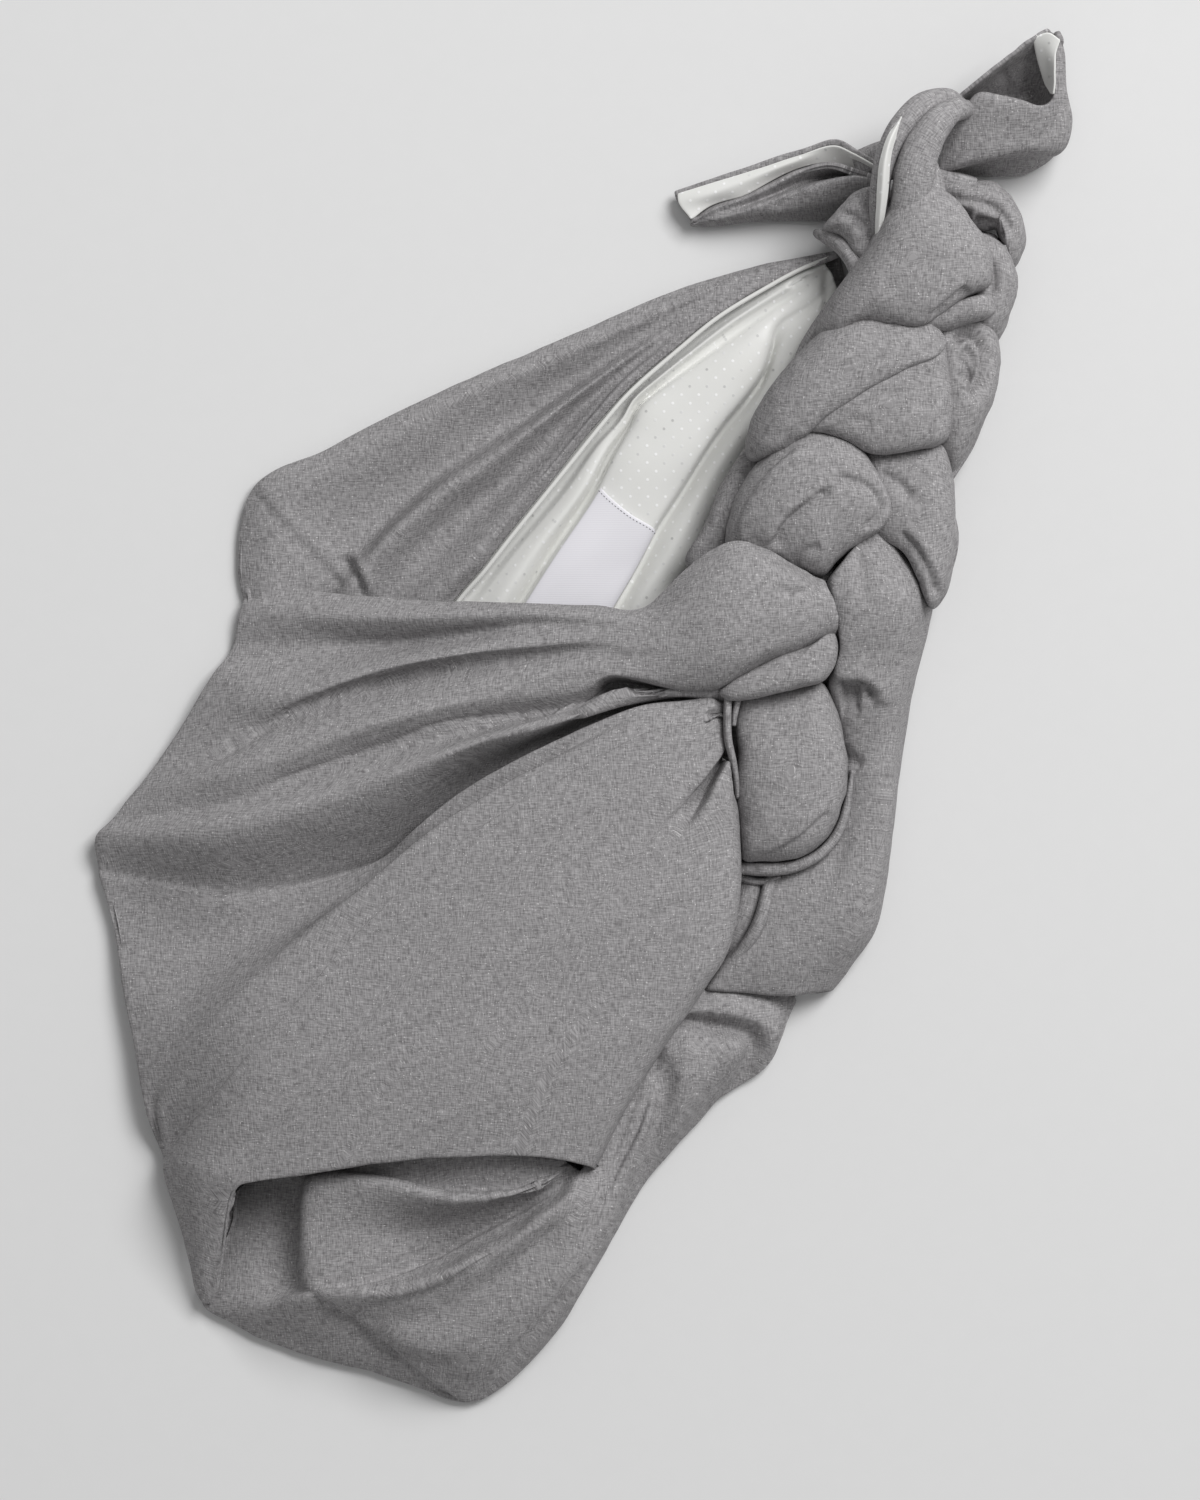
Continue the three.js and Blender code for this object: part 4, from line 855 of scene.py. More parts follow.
# Ties: three long ends of the same lined cloth, each folded lengthwise into a soft strand and plaited
# down the right side of the mouth. Where a strand comes to the top it swells into a leaf-shaped lobe
# between its neighbours.
STRANDS = {
    "tie_left": ("tie_left_cloth", "tie_cloth"), "tie_right": ("tie_right_cloth", "tie_cloth"),
    "tie_middle": ("tie_middle_cloth", "tie_cloth"), "outer_cloth": ("flap_rolls", "gray_cloth"),
}

# Each lobe's outline goes round it as (x, y, height of its edge), centre is its highest point and low
# the height of its underside.
LOBES = [
    {"lobe": "lower round lobe", "tie": "tie_middle", "centre": (84, -18, 48), "low": 6, "outline": [
        (64, 12, 40), (76, 14, 38), (88, 16, 36), (96, 17, 34), (101, 10, 30), (104, 2, 28), (106, -8, 26),
        (107, -20, 24), (105, -31, 24), (102, -40, 24), (97, -47, 24), (89, -52.5, 26), (80, -54.5, 27),
        (72, -54.5, 28), (65, -54, 28), (63, -40, 30), (62, -24, 34), (63, -12, 38), (62, 2, 40)]},
    {"lobe": "left arc", "tie": "tie_middle", "centre": (92, 91, 61), "low": 14, "outline": [
        (88, 117, 42), (100, 116, 42), (110, 111, 44), (116, 103, 48), (121, 94, 50), (123, 85, 50),
        (120, 78, 48), (110, 71, 44), (102, 65, 42), (96, 59, 40), (86, 60, 36), (74, 64, 34),
        (62, 66, 32), (58, 72, 30), (61, 88, 30), (67, 100, 32), (77, 111, 36)]},
    {"lobe": "right leaf", "tie": "tie_left", "centre": (134, 86, 50), "low": 8, "outline": [
        (112, 110, 36), (128, 111, 36), (145, 114, 30), (149, 100, 22), (150, 82, 20), (149, 64, 18),
        (146, 52, 20), (140, 46, 30), (134, 58, 40), (128, 69, 42), (121, 73, 40), (115, 78, 36),
        (113, 90, 34), (112, 100, 34)]},
    {"lobe": "lower pleat", "tie": "tie_right", "centre": (122, 126, 60), "low": 14, "outline": [
        (143, 152, 46), (147, 138, 42), (149, 122, 38), (146, 113, 40), (134, 109, 48), (120, 107, 50),
        (113, 108, 50), (106, 112, 50), (97, 115, 48), (87, 116, 44), (90, 125, 46), (106, 136, 50),
        (124, 145, 50)]},
    {"lobe": "upper pleat", "tie": "tie_right", "centre": (106, 140, 63), "low": 14, "outline": [
        (97, 157, 36), (111, 163, 40), (126, 162, 42), (139, 160, 44), (145, 152, 50), (142, 146, 55),
        (128, 140, 58), (110, 130, 58), (97, 121, 56), (88, 113, 50), (77, 107, 42), (68, 105, 34),
        (66, 114, 30), (72, 129, 30), (84, 145, 32)]},
    {"lobe": "left strip", "tie": "tie_right", "centre": (60, 88, 31), "low": 16.8, "outline": [
        (72, 116, 26), (78, 108, 26), (70, 98, 26), (66, 88, 26), (62, 74, 26), (56, 66, 26), (46, 60, 22),
        (42, 66, 20), (49, 79, 19), (58, 99, 20)]},
    {"lobe": "right curl", "tie": "tie_middle", "centre": (154, 134, 49), "low": 6, "outline": [
        (141, 163, 34), (154, 165, 32), (165, 159, 24), (168, 146, 18), (166, 132, 16), (161, 119, 16),
        (154, 107, 18), (148, 101, 22), (142, 112, 32), (141, 130, 36), (140, 148, 36)]},
    {"lobe": "top lobe", "tie": "tie_left", "centre": (131, 184, 66), "low": 14, "outline": [
        (115, 192, 34), (124, 209, 44), (136, 214, 50), (148, 209, 46), (158, 197, 42), (164, 186, 38),
        (163, 175, 40), (153, 169, 48), (143, 162, 52), (134, 157, 54), (124, 158, 52), (112, 159, 48),
        (99, 153, 38), (94, 157, 28), (100, 170, 26), (108, 182, 28)]},
    {"lobe": "rolled edge", "tie": "tie_left", "centre": (149, 164, 54), "low": 30, "outline": [
        (134, 158, 48), (142, 163, 50), (153, 168.5, 50), (163, 170, 44), (165, 164, 40), (153, 158.5, 42),
        (140, 155.5, 44)]},
    {"lobe": "right shoulder", "tie": "tie_right", "centre": (166, 176, 42), "low": 8, "outline": [
        (158, 196, 30), (170, 191, 22), (175, 177, 16), (172, 164, 16), (166, 152, 18), (158, 154, 30),
        (156, 170, 34), (156, 184, 34)]},
    {"lobe": "band below the lip", "tie": "tie_left", "centre": (80, 19.5, 58), "low": 30, "outline": [
        (55, 12.5, 50), (60, 17, 52), (70, 23, 52), (80, 28, 52), (90, 31, 51), (100, 37, 48),
        (102.5, 30, 44), (100.5, 22, 44), (96, 17, 46), (88, 14.6, 48), (76, 12, 50), (66, 10, 50),
        (58, 10, 50)]},
    {"lobe": "left wrap", "tie": "tie_right", "centre": (110, 201, 46), "low": 12, "outline": [
        (97, 198, 24), (103, 206, 28), (109, 212, 32), (118, 213, 40), (121, 204, 44), (120, 192, 44),
        (115, 183, 40), (110, 186, 38), (105, 193, 32), (100, 196, 26)]},
    {"lobe": "curled end", "tie": "tie_right", "centre": (166, 207, 34), "low": 4, "outline": [
        (141, 217, 20), (152, 218, 14), (162, 218.4, 10), (168, 216.4, 9), (174, 210, 9), (177.6, 201, 10),
        (178.8, 194, 12), (176.8, 187.6, 14), (173.2, 182.8, 16), (169.2, 190.6, 20), (167.6, 194.8, 22),
        (166.4, 198, 22), (161.6, 197.6, 20), (156, 198.4, 18), (148, 203, 18), (141, 208, 20)]},
    {"lobe": "tongue in the curl", "tie": "tie_right", "centre": (165.6, 192, 24), "low": 6, "outline": [
        (158, 195, 14), (162, 197, 18), (166, 196, 20), (168.4, 192, 20), (168, 187.6, 18), (164, 187, 14),
        (160, 190, 12)]},
]
LOBE_CREASES = {
    "lower round lobe": [
        {"crease": "inner fold", "line": [(70, -53.5), (78, -50), (88, -44), (96.8, -36),
            (100.5, -33)], "deep": 2.0, "wide": 4, "side": 1},
    ],
    "left arc": [
        {"crease": "hem", "line": [(62, 68), (63, 82), (69, 94), (78, 104),
            (87, 111)], "deep": 1.6, "wide": 3.5, "side": -1},
        {"crease": "first", "line": [(74.8, 69), (80.8, 80), (90, 88),
            (100, 95)], "deep": 3.4, "wide": 6, "side": 1},
        {"crease": "second", "line": [(99, 98.6), (106, 98), (112, 96), (117, 92), (120, 85), (116.8, 80),
            (110, 75)], "deep": 2.0, "wide": 4.5, "side": 1},
        {"crease": "end", "line": [(84, 62), (88, 68), (96, 70)], "deep": 1.4, "wide": 4},
    ],
    "right leaf": [
        {"crease": "pinch", "line": [(118, 100), (126, 96), (132, 88)], "deep": 2.2, "wide": 5},
        {"crease": "lower", "line": [(127, 78), (134, 70), (141, 58),
            (144, 50)], "deep": 2.6, "wide": 4.5, "side": 1},
    ],
    "lower pleat": [
        {"crease": "right", "line": [(138, 142), (136, 130), (134, 124)], "deep": 1.2, "wide": 5},
        {"crease": "left", "line": [(100, 118), (108, 121), (116, 118)], "deep": 0.8, "wide": 5},
    ],
    "right curl": [
        {"crease": "curl", "line": [(147, 150), (152, 156), (158, 155), (162, 148), (162, 139), (158, 132),
            (152, 131)], "deep": 6.5, "wide": 5},
        {"crease": "hollow", "line": [(151, 150), (155, 146), (156, 140),
            (153, 134)], "deep": 4.0, "wide": 7},
        {"crease": "tongue", "line": [(149, 146), (153, 142), (155, 135)], "deep": 3.0, "wide": 3},
    ],
    "curled end": [
        {"crease": "roll", "line": [(143, 211), (153, 209), (162, 207), (169, 202),
            (172.4, 195)], "deep": 1.6, "wide": 4},
        {"crease": "hollow", "line": [(156, 200), (163, 198.6), (169, 194)], "deep": 4.0, "wide": 5},
        {"crease": "shade", "line": [(144, 208), (150, 204), (156, 201)], "deep": 3.0, "wide": 6},
    ],
    "left wrap": [
        {"crease": "fold", "line": [(103, 204), (110, 202), (116, 194),
            (118, 186)], "deep": 1.4, "wide": 3.5, "side": 1},
    ],
    "top lobe": [
        {"crease": "long", "line": [(138, 161), (146, 168),
            (153, 174)], "deep": 2.6, "wide": 5, "side": 1},
        {"crease": "soft", "line": [(120, 168), (130, 178), (142, 186)], "deep": 0.7, "wide": 8},
    ],
    "right shoulder": [
        {"crease": "dip", "line": [(160, 188), (164, 180), (163, 170)], "deep": 2.0, "wide": 4},
    ],
}

# A lobe's form: rings above and below its edge, points in a ring, the angle left open at its top, the
# powers that make it fuller than a ball, and its lumps as (size, height).
LOBE_RINGS = (36, 8)
LOBE_SIDES = 150
LOBE_OPEN = 0.02
LOBE_FULL = {"reach": 0.8, "rise": 0.75}
LOBE_LUMPS = ((9, 0.35), (4, 0.16))


def closed_curve(points, count, fine=60):
    """count points at equal distances round the smooth closed curve through points."""
    points = np.asarray(points, float)
    spans = np.linspace(2, 2 + len(points), fine * len(points))
    return spaced(through(np.concatenate([points[-2:], points, points[:3]]), spans), count, endpoint=False)


def lobe_normals(points):
    """Unit normals over rings of points, pointing out."""
    normal = np.cross(np.gradient(points, axis=0), np.roll(points, -1, axis=1) - np.roll(points, 1, axis=1))
    if normal[0, :, 2].sum() < 0:
        normal = -normal
    return unit(normal)


def lobe_shape(lobe, seed):
    """A soft closed lobe: points in rings from its top to its underside, and their places on the cloth."""
    edge = closed_curve(lobe["outline"], LOBE_SIDES)
    centre = np.array(lobe["centre"], float)
    above = np.linspace(LOBE_OPEN, np.pi / 2, LOBE_RINGS[0])
    below = np.linspace(np.pi / 2, np.pi - LOBE_OPEN, LOBE_RINGS[1] + 1)[1:]
    turn = np.concatenate([above, below])[:, None]
    reach = np.sin(turn) ** LOBE_FULL["reach"]
    rise = np.sign(np.cos(turn)) * np.abs(np.cos(turn)) ** LOBE_FULL["rise"]
    flat = centre[:2] + reach[..., None] * (edge[:, :2] - centre[:2])
    height = rise * np.where(rise > 0, centre[2] - edge[:, 2], edge[:, 2] - lobe["low"]) + edge[:, 2]
    points = np.concatenate([flat, height[..., None]], axis=-1)
    spoke = np.cumsum(np.linalg.norm(np.diff(points, axis=0, prepend=points[:1]), axis=-1), axis=0)
    uv = spoke[..., None] * unit(edge[:, :2] - centre[:2])
    lumps = sum(high * uneven(uv[..., 0], uv[..., 1], size, seed + k)
                for k, (size, high) in enumerate(LOBE_LUMPS))
    points = points + lobe_normals(points) * lumps[..., None]
    points = press(points, lobe_normals(points), LOBE_CREASES.get(lobe["lobe"], []))
    return points, uv + centre[:2]


def closed_tube(points, uv):
    """Points, faces and UVs of rings closed at both ends, with its faces turned out."""
    flat = points.reshape(-1, 3)
    index = np.arange(len(flat)).reshape(points.shape[:2])
    after = np.roll(index, -1, axis=1)
    faces = np.stack([index[:-1], after[:-1], after[1:], index[1:]], axis=-1).reshape(-1, 4).tolist()
    faces += [index[0, ::-1].tolist(), index[-1].tolist()]
    a, b, c = (flat[[face[k] for face in faces]] for k in (0, 1, 2))
    if np.einsum("ij,ij->i", a - flat.mean(axis=0), np.cross(b - a, c - a)).sum() < 0:
        faces = [face[::-1] for face in faces]
    return flat, faces, uv.reshape(-1, 2)


strands = {name: [] for name in STRANDS}
for k, lobe in enumerate(LOBES):
    strands[lobe["tie"]].append(closed_tube(*lobe_shape(lobe, seed=300 + 10 * k)))

# Under the lobes each strand goes on as a flatter tube, pressed down by the ones over it. A section is
# its middle, width and thickness: (x, y, z, wide, thick).
TIES = {
    "tie_left": [
        (48, 30, 34, 26, 10), (80, 42, 34, 28, 10), (106, 52, 24, 28, 12), (130, 60, 18, 30, 16),
        (138, 74, 26, 26, 18), (131, 88, 34, 28, 18), (116, 104, 34, 28, 16), (100, 120, 24, 28, 14),
        (98, 140, 20, 28, 12), (108, 160, 28, 26, 16), (128, 184, 42, 30, 18), (134, 206, 42, 24, 16),
        (133, 222, 36, 18, 14), (124, 226, 20, 16, 10), (112, 222, 14, 16, 8)],
    "tie_right": [
        (115, 52, 28, 24, 12), (113, 72, 26, 26, 14), (100, 90, 20, 28, 14), (84, 102, 20, 26, 12),
        (86, 118, 26, 26, 16), (106, 134, 38, 32, 18), (131, 149, 34, 30, 16), (150, 158, 17, 24, 14),
        (162, 174, 22, 20, 16), (162, 192, 26, 20, 14)],
    "tie_middle": [
        (72, -50, 18, 26, 12), (84, -30, 24, 30, 16), (87, -6, 28, 30, 18), (86, 12, 24, 30, 14),
        (82, 36, 18, 28, 12), (74, 58, 20, 26, 14), (76, 74, 28, 26, 14), (88, 90, 36, 30, 18),
        (114, 92, 34, 28, 16), (130, 98, 22, 28, 14), (145, 114, 15, 24, 12), (152, 130, 17, 22, 12),
        (152, 147, 17, 22, 12), (146, 168, 17, 24, 12), (140, 192, 17, 24, 12), (147, 221, 26, 24, 9)],
}

# Rolled edges, in the same sections: the left tie goes once round the other two in two bands, which
# are the knot, and hems and the flap's own end show as narrow rolls.
ROLLS = [
    ("outer band of the knot", "tie_left", [
        (152, 246, 28, 8, 10), (144, 248, 42, 10, 12), (135, 244.5, 50, 11, 13), (127, 236.5, 54, 10, 14),
        (121.5, 226, 54, 9, 14), (119, 215, 52, 8, 14), (118.5, 205, 47, 8, 14), (119, 194, 40, 8, 12)]),
    ("inner band of the knot", "tie_left", [
        (153, 245, 32, 8, 10), (147, 243, 48, 10, 12), (140.5, 237, 55, 13, 14), (135, 228, 57, 15, 15),
        (132, 218, 57, 16, 16), (130.5, 208, 55, 15, 16), (128, 197, 50, 13, 15)]),
    ("edge of the left wrap", "tie_right", [
        (96.6, 196, 16, 4, 8), (100.5, 193.8, 26, 6.5, 11), (105.5, 189.4, 34, 7, 12),
        (109.6, 182.6, 37, 7, 12), (111.8, 173, 33, 6, 12)]),
    ("hem beside the panel", "tie_middle", [
        (58.8, 12, 48, 3.2, 6), (58.4, 2, 48, 3.2, 8), (58.8, -6, 47, 3.2, 8), (60.4, -13, 45, 3, 8),
        (61.8, -20, 42, 2.6, 8), (62.6, -28, 38, 2, 6)]),
    ("second hem beside the panel", "tie_middle", [
        (63.4, 12, 47, 2.6, 6), (61.8, 6, 47, 2.6, 6), (61, 0, 46, 2, 6)]),
    ("hem under the round lobe", "tie_middle", [
        (62, -57, 26, 5, 6), (74, -57.6, 27, 5.5, 7), (83, -57, 27, 5, 7), (91, -54.4, 27, 4.5, 7),
        (97.6, -50, 26.5, 4.2, 7), (102.8, -43.4, 26, 4, 7), (106, -35, 26, 3.6, 7),
        (107.6, -26, 26.5, 2.6, 6), (108.6, -18, 27, 1.6, 5)]),
    ("second hem under the round lobe", "tie_middle", [
        (62, -60, 21, 3, 5), (68.8, -62.2, 22, 3.4, 5), (74, -62.4, 22, 3, 5), (80, -60.6, 22, 2, 5)]),
    ("first roll of the flap", "outer_cloth", [
        (78, -56, 18, 4, 6), (75, -66, 22, 5, 8), (72.6, -76, 24, 5.5, 9), (69, -84, 23, 5.5, 9),
        (63.6, -91.4, 20, 5, 8), (58, -97, 16, 3, 7)]),
    ("second roll of the flap", "outer_cloth", [
        (69, -57, 16, 9, 8), (68, -67, 19, 9, 8), (65.6, -76, 19, 9, 8), (61.6, -85, 17, 8, 7),
        (57.6, -93, 13, 4, 5)]),
]

# A strand's form: steps from section to section, sides, the power that squares its sections, and its
# pleats as their size, their stretch along the strand and the thickness that they stop growing at.
TIE_STEPS = 8
TIE_SIDES = 32
TIE_SQUARE = 0.85
TIE_PLEATS = {"size": 9, "stretch": 5, "thickest": 8}


def tie_tube(sections, seed):
    """A soft strand: rounded sections along a smooth path, with pleats that run along it."""
    sections = np.array(sections, float)
    last = len(sections) - 1
    at = np.linspace(0, last, last * TIE_STEPS + 1)
    path = through(sections[:, :3], at)
    run = run_along(path)[:, None]
    tangent = unit(np.gradient(path, axis=0))
    side = unit(np.cross(tangent, (0, 0, 1)))
    up = unit(np.cross(side, tangent))
    span = np.minimum(at.astype(int), last - 1)
    blend = eased(at - span)[:, None]
    sizes = (sections[span, 3:] * (1 - blend) + sections[span + 1, 3:] * blend) / 2
    turn = np.linspace(0, 2 * np.pi, TIE_SIDES, endpoint=False)
    x, y = (half * np.sign(form(turn)) * np.abs(form(turn)) ** TIE_SQUARE
            for half, form in ((sizes[:, :1], np.cos), (sizes[:, 1:], np.sin)))
    steps = (np.diff(form, axis=1, prepend=form[:, -1:]) for form in (x, y))
    girth = np.cumsum(np.hypot(*steps), axis=1)
    pleats = uneven(girth, run / TIE_PLEATS["stretch"] + 0 * girth, TIE_PLEATS["size"], seed)
    swell = 1 + pleats * np.minimum(sizes[:, 1:], TIE_PLEATS["thickest"]) / 100
    points = path[:, None] + side[:, None] * (x * swell)[..., None] + up[:, None] * (y * swell)[..., None]
    return points, np.stack([girth, run + 0 * girth], axis=-1)


def joined(tubes):
    """Closed tubes as one set of points, faces and UVs."""
    faces = []
    shift = 0
    for points, some, _ in tubes:
        faces += [[k + shift for k in face] for face in some]
        shift += len(points)
    return np.concatenate([tube[0] for tube in tubes]), faces, np.concatenate([tube[2] for tube in tubes])


for k, (name, sections) in enumerate([*TIES.items(), *((name, sections) for _, name, sections in ROLLS)]):
    strands[name].append(closed_tube(*tie_tube(sections, seed=200 + 20 * k)))
for replaced, (name, slot) in STRANDS.items():
    strand = mesh_piece(name, *joined(strands[replaced]), gray_chambray, replaced, slot)

# Free ends: each tie opens out again past the knot, gray outside and satin inside. The left end lies
# flat with its satin up, the top end stands open like a sleeve, the right end curls over.
TAIL = 1.6
TAIL_LINING = 0.8
TAILS = {
    "tail_left": ("tie_left", [
        ("floor", [(39, 213, 2), (56, 219, 2), (72, 224, 2), (88, 229, 2), (101, 233, 2), (110, 228, 3),
            (120, 221, 6)]),
        ("rim", [(38.4, 215, 6), (56, 220.8, 8), (72, 225.6, 9), (88, 230.8, 12), (102.4, 234.6, 16),
            (110.4, 230, 20), (119.5, 224.5, 24)]),
        ("rim inner", [(38.8, 213.4, 6.5), (56, 218.8, 8), (72, 223.6, 9.5), (88, 228.6, 12),
            (102, 232, 15.5), (109, 228.4, 19), (119, 222.5, 22)]),
        ("bed", [(39.5, 211, 5), (52, 213.5, 6), (68, 218.5, 7), (84, 224.5, 8), (100, 228.5, 9),
            (108, 226, 12), (118, 221.5, 17)]),
        ("under the fold", [(44.6, 204, 5), (52, 209, 5), (66, 213.5, 6), (76, 218.5, 6), (88, 224, 7),
            (100, 226, 8), (108.8, 223.6, 10), (117, 219.6, 15)]),
        ("fold crest", [(45.6, 202.2, 10), (53.4, 206.8, 13), (66.5, 211.3, 15), (76.5, 215.8, 16.5),
            (88.5, 221.6, 19), (100, 224, 21), (108.8, 221.3, 23), (117, 218.2, 26)]),
        ("trough", [(46, 201.6, 9), (54, 205, 12), (67, 208.8, 12.5), (78, 213, 12), (90, 218, 11),
            (101, 220, 9), (109, 219.3, 9), (117.5, 217.4, 16)]),
        ("ridge", [(46.3, 201.2, 8), (55, 203, 12), (68, 206.6, 16), (80, 211, 18), (92, 214.5, 22),
            (102, 217.4, 25), (110, 218.6, 27), (118, 217, 29)]),
        ("below the ridge", [(46.5, 200.8, 6), (56, 201.9, 9), (68, 203.8, 12), (80, 206, 15),
            (92, 208.5, 18), (102, 210.5, 20), (110, 212.5, 22), (118, 212, 24)]),
        ("lower edge", [(45, 200.6, 3), (56, 200.6, 4), (66, 202, 4), (80, 202.4, 4), (92, 202.6, 4),
            (102, 203, 4), (110, 204, 6), (118, 206, 10)]),
    ]),
    "tail_top": ("tie_middle", [
        ("back edge", [(148, 247, 30), (158, 254.8, 36), (168, 262.8, 38), (176, 268.8, 39),
            (182, 273.2, 39), (186.4, 275.4, 38)]),
        ("inner slope", [(146, 243, 22), (157, 250.5, 22), (168, 257.5, 22), (177, 263.5, 24),
            (183, 268.5, 28), (187.5, 274.4, 35)]),
        ("inner deep", [(144.5, 238, 16), (157, 247, 12), (170, 251, 10), (180, 252, 12), (185.5, 257, 18),
            (187.5, 266, 24), (188.5, 273.6, 34)]),
        ("behind the wall", [(144.8, 236, 18), (152, 243.2, 22), (158.8, 249.8, 24), (170, 248.6, 24),
            (182.6, 245.6, 24), (187.6, 249, 26), (188.6, 260, 28), (190, 270, 32), (189.4, 274, 35)]),
        ("front edge", [(145.6, 235.2, 28), (152, 242.8, 34), (158.8, 250.8, 38), (168, 250, 38),
            (176, 248.4, 37), (182.8, 246.4, 36), (186.4, 247.2, 36), (188.8, 250.8, 37), (188.8, 260, 38),
            (189.2, 268, 38), (191, 271.6, 38), (189.6, 274.8, 37)]),
        ("front wall", [(144.8, 230, 27), (151.2, 234, 32), (158, 237.2, 34.5), (168, 238, 35),
            (178, 237.2, 34), (186, 238, 33), (191.2, 244, 33), (191.2, 254, 35), (191.2, 266, 38),
            (192, 270, 37), (190.4, 274, 36)]),
        ("wall's lower fold", [(143.4, 220.4, 24), (150.4, 222.8, 29), (161.6, 226, 31), (176, 228.8, 30),
            (186, 228.8, 28), (192.8, 230.8, 26), (196, 242, 27), (193.6, 254.8, 30), (192.8, 268, 32),
            (191.2, 273.2, 34)]),
        ("under strip", [(143.6, 220.6, 12), (152, 222.4, 14), (164, 225.6, 15), (176, 227.4, 15),
            (186, 227.2, 14), (192.6, 229, 13), (197, 241.2, 16), (194.4, 255.6, 20), (193.4, 269.2, 24),
            (191.6, 273.6, 30)]),
        ("lower edge", [(146, 219.4, 3.5), (156, 220.4, 4), (168, 220.6, 4), (176.4, 221, 4),
            (183.4, 223.8, 4), (190.2, 228.6, 4), (197.2, 242, 6), (194.6, 256.4, 8), (193.8, 270, 12),
            (191.8, 274, 24)]),
    ]),
}
TAIL_CREASES = {
    "tail_top": [
        {"crease": "wall", "line": [(178, 232), (186, 236), (191, 243),
            (193, 250)], "deep": 0.8, "wide": 4},
        {"crease": "inside", "line": [(168, 262), (171, 256), (172, 251)], "deep": 0.8, "wide": 5},
    ],
    "tail_left": [
        {"crease": "soft", "line": [(76, 208), (84, 210), (90, 214)], "deep": 0.8, "wide": 5},
    ],
}
TAIL_SATIN = {
    "tail_left_satin": ("tie_left", [
        ("rim side", [(39.4, 213.2, 8.2), (56, 218.4, 9.6), (72, 223.2, 11), (88, 228.2, 13.5),
            (102, 231.6, 17), (109, 228, 20.5), (118, 222.8, 23.5)]),
        ("middle", [(40, 209.6, 9), (53, 213.4, 11.5), (68, 219, 12.5), (84, 225, 13.5), (100, 229, 14),
            (108.4, 226.4, 16), (117.5, 221.6, 20)]),
        ("under the fold", [(44.8, 203.4, 9), (52, 208.6, 8), (66, 213, 9), (76, 218, 9), (88, 223.6, 10),
            (100, 225.8, 11), (108.8, 223.2, 13), (117, 219.2, 18)]),
    ]),
    "tail_top_satin": ("tie_middle", [
        ("left", [(180.4, 272.6, 39), (181.6, 268, 34), (183.2, 262, 31), (185.2, 256, 30),
            (187, 251.4, 35)]),
        ("middle", [(186, 274.6, 40), (185.6, 267, 37), (186, 260, 34), (186.6, 255, 34),
            (187.4, 251.2, 37)]),
        ("right", [(190.6, 272, 40), (188.6, 266.8, 39.6), (188.2, 260, 39.4), (188.2, 254.8, 39),
            (187.8, 251.2, 38.2)]),
    ]),
    "knot_satin": ("tie_left", [
        ("left", [(125.8, 240.4, 58.5), (120.8, 231, 62), (118.4, 222, 62), (117.4, 212, 59.6),
            (117, 202, 55), (117, 193, 48)]),
        ("middle", [(126.9, 239.8, 61), (122.2, 230, 64.4), (120.2, 221.6, 64.4), (119.4, 212, 62),
            (118.6, 202, 57.5), (118, 193, 51)]),
        ("right", [(128, 239, 59), (124, 229, 62), (122.4, 220.6, 62), (121.8, 212, 60), (120.6, 202, 56),
            (119.2, 193, 49)]),
    ]),
}


def tail_pieces(table, thickness, material, slot, seed):
    """A sheet for each entry of a table of free ends."""
    pieces = {}
    for k, (name, (tie, rows)) in enumerate(table.items()):
        grid = fold_grid(rows, steps=90, between=12, tucked=False)
        grid = crumple(grid, seed + 10 * k, lumps=[(10, 0.3, 2.0), (5, 0.12, 1.5)])
        grid = press(grid, normals_of(grid, 2), TAIL_CREASES.get(name, []))
        pieces[name] = cloth_piece(name, grid, thickness, material, tie, slot, 1)
    return pieces


tails = tail_pieces(TAILS, TAIL, gray_chambray, "tie_cloth", seed=400)
satins = tail_pieces(TAIL_SATIN, TAIL_LINING, white_satin, "white_satin", seed=450)

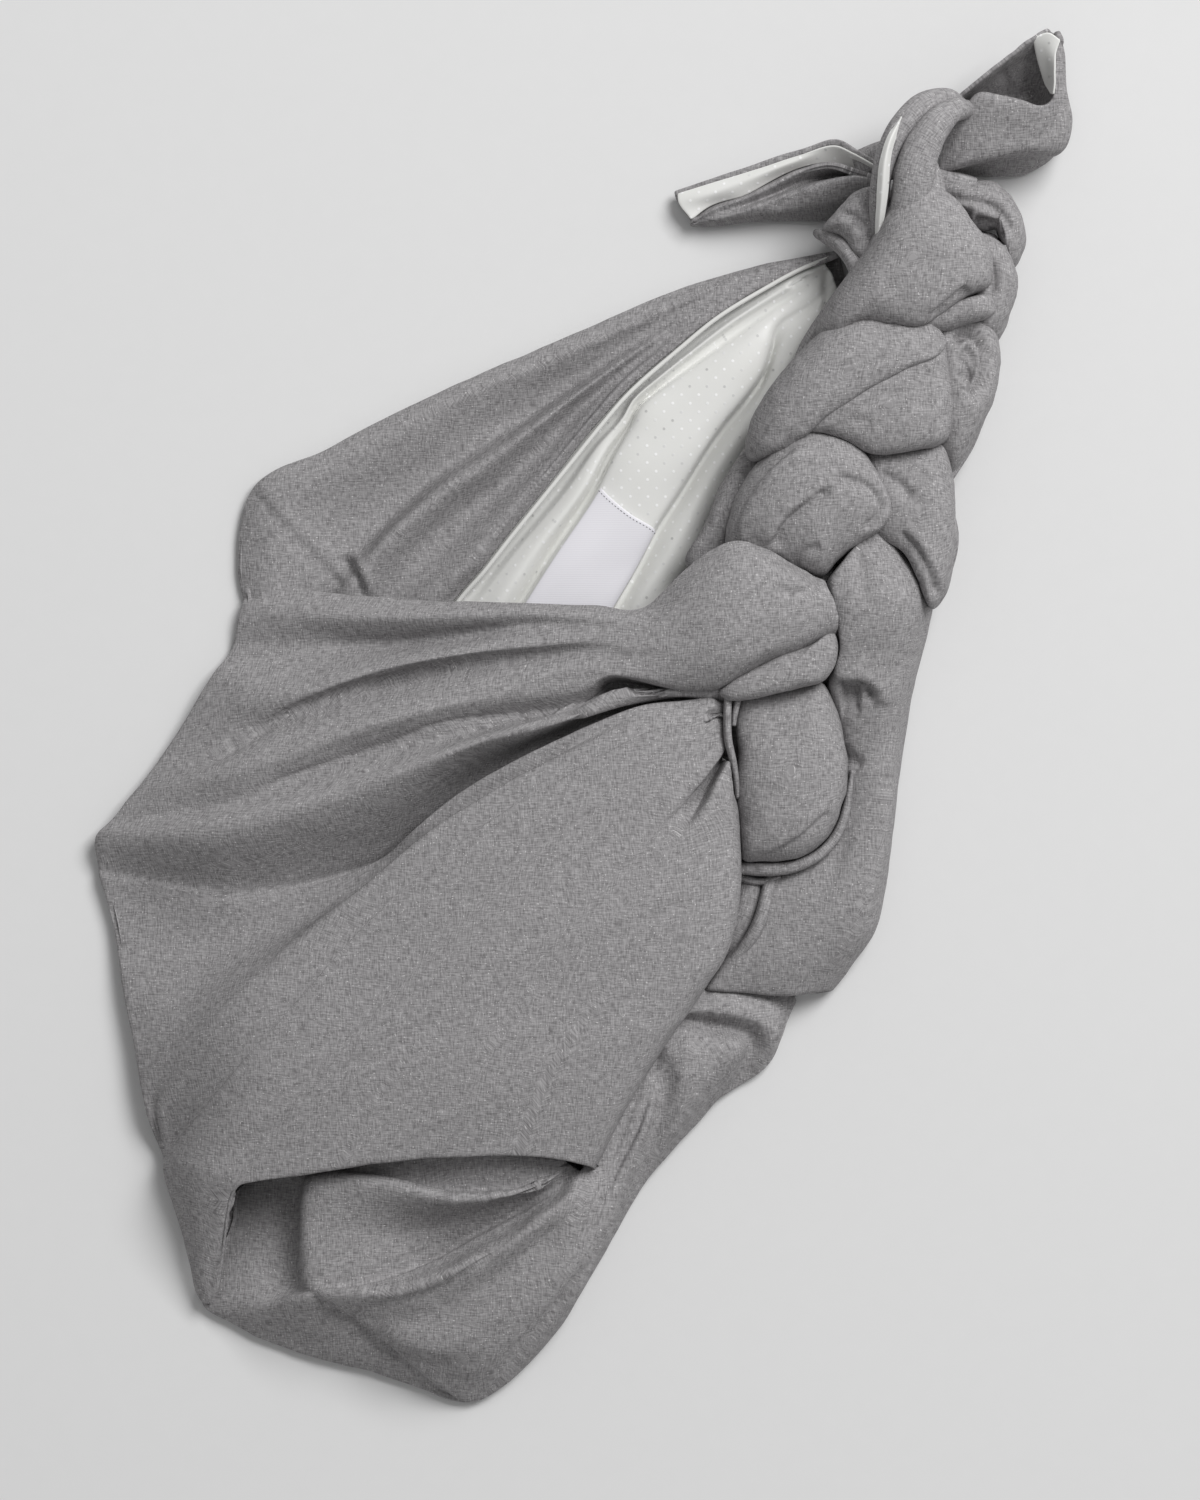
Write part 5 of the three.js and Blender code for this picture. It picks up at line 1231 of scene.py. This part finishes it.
# Studio: a plain pale floor, one large soft light above the top of the picture and an even fill.
# Sizes are in metres, and the light looks at the bag's middle.
FLOOR_HALF = 4
WINDOW = {"size": 1.9, "power": 122.0, "place": (1.7, 1.9, 2.9)}
FILL = 0.30

paper, tree = new_material("pale paper backdrop")
grain = node(tree, "ShaderNodeTexNoise", Scale=900.0, Detail=2.0).outputs["Fac"]
finish_material(tree, Base_Color=mixed(tree, grain, "#e6e6e6", "#e8e8e8"), Roughness=0.9)
floor_mesh = bpy.data.meshes.new("floor")
floor_corners = [(x * FLOOR_HALF, y * FLOOR_HALF, 0) for x, y in ((-1, -1), (1, -1), (1, 1), (-1, 1))]
floor_mesh.from_pydata(floor_corners, [], [(0, 1, 2, 3)])
floor_mesh.materials.append(paper)
floor = bpy.data.objects.new("floor", floor_mesh)
bpy.context.scene.collection.objects.link(floor)

window = bpy.data.lights.new("window light", "AREA")
window.shape = "RECTANGLE"
window.size = WINDOW["size"]
window.size_y = WINDOW["size"]
window.energy = WINDOW["power"]
lamp = bpy.data.objects.new("window light", window)
lamp.location = WINDOW["place"]
lamp.rotation_euler = (-Vector(WINDOW["place"])).to_track_quat("-Z", "Y").to_euler()
bpy.context.scene.collection.objects.link(lamp)
world = bpy.data.worlds.new("studio")
bpy.context.scene.world = world
world.use_nodes = True
world.node_tree.nodes["Background"].inputs["Color"].default_value = (1, 1, 1, 1)
world.node_tree.nodes["Background"].inputs["Strength"].default_value = FILL
bpy.context.scene.view_settings.view_transform = "Standard"

# Camera: straight above, through a long lens, at 0.4 mm of the bag for each pixel of a picture 1500
# pixels high. Sizes are in metres, and the sensor in millimetres.
PHOTO_MIDDLE = (0.008, -0.010)
PHOTO_HEIGHT = 0.600
DISTANCE = 3.0
MEAN_HEIGHT = 0.02
SENSOR = 36.0
camera = bpy.data.cameras.new("camera")
camera.sensor_fit = "VERTICAL"
camera.sensor_height = SENSOR
camera.lens = SENSOR * DISTANCE / PHOTO_HEIGHT
holder = bpy.data.objects.new("camera", camera)
holder.location = (*PHOTO_MIDDLE, DISTANCE + MEAN_HEIGHT)
bpy.context.scene.collection.objects.link(holder)
bpy.context.scene.camera = holder
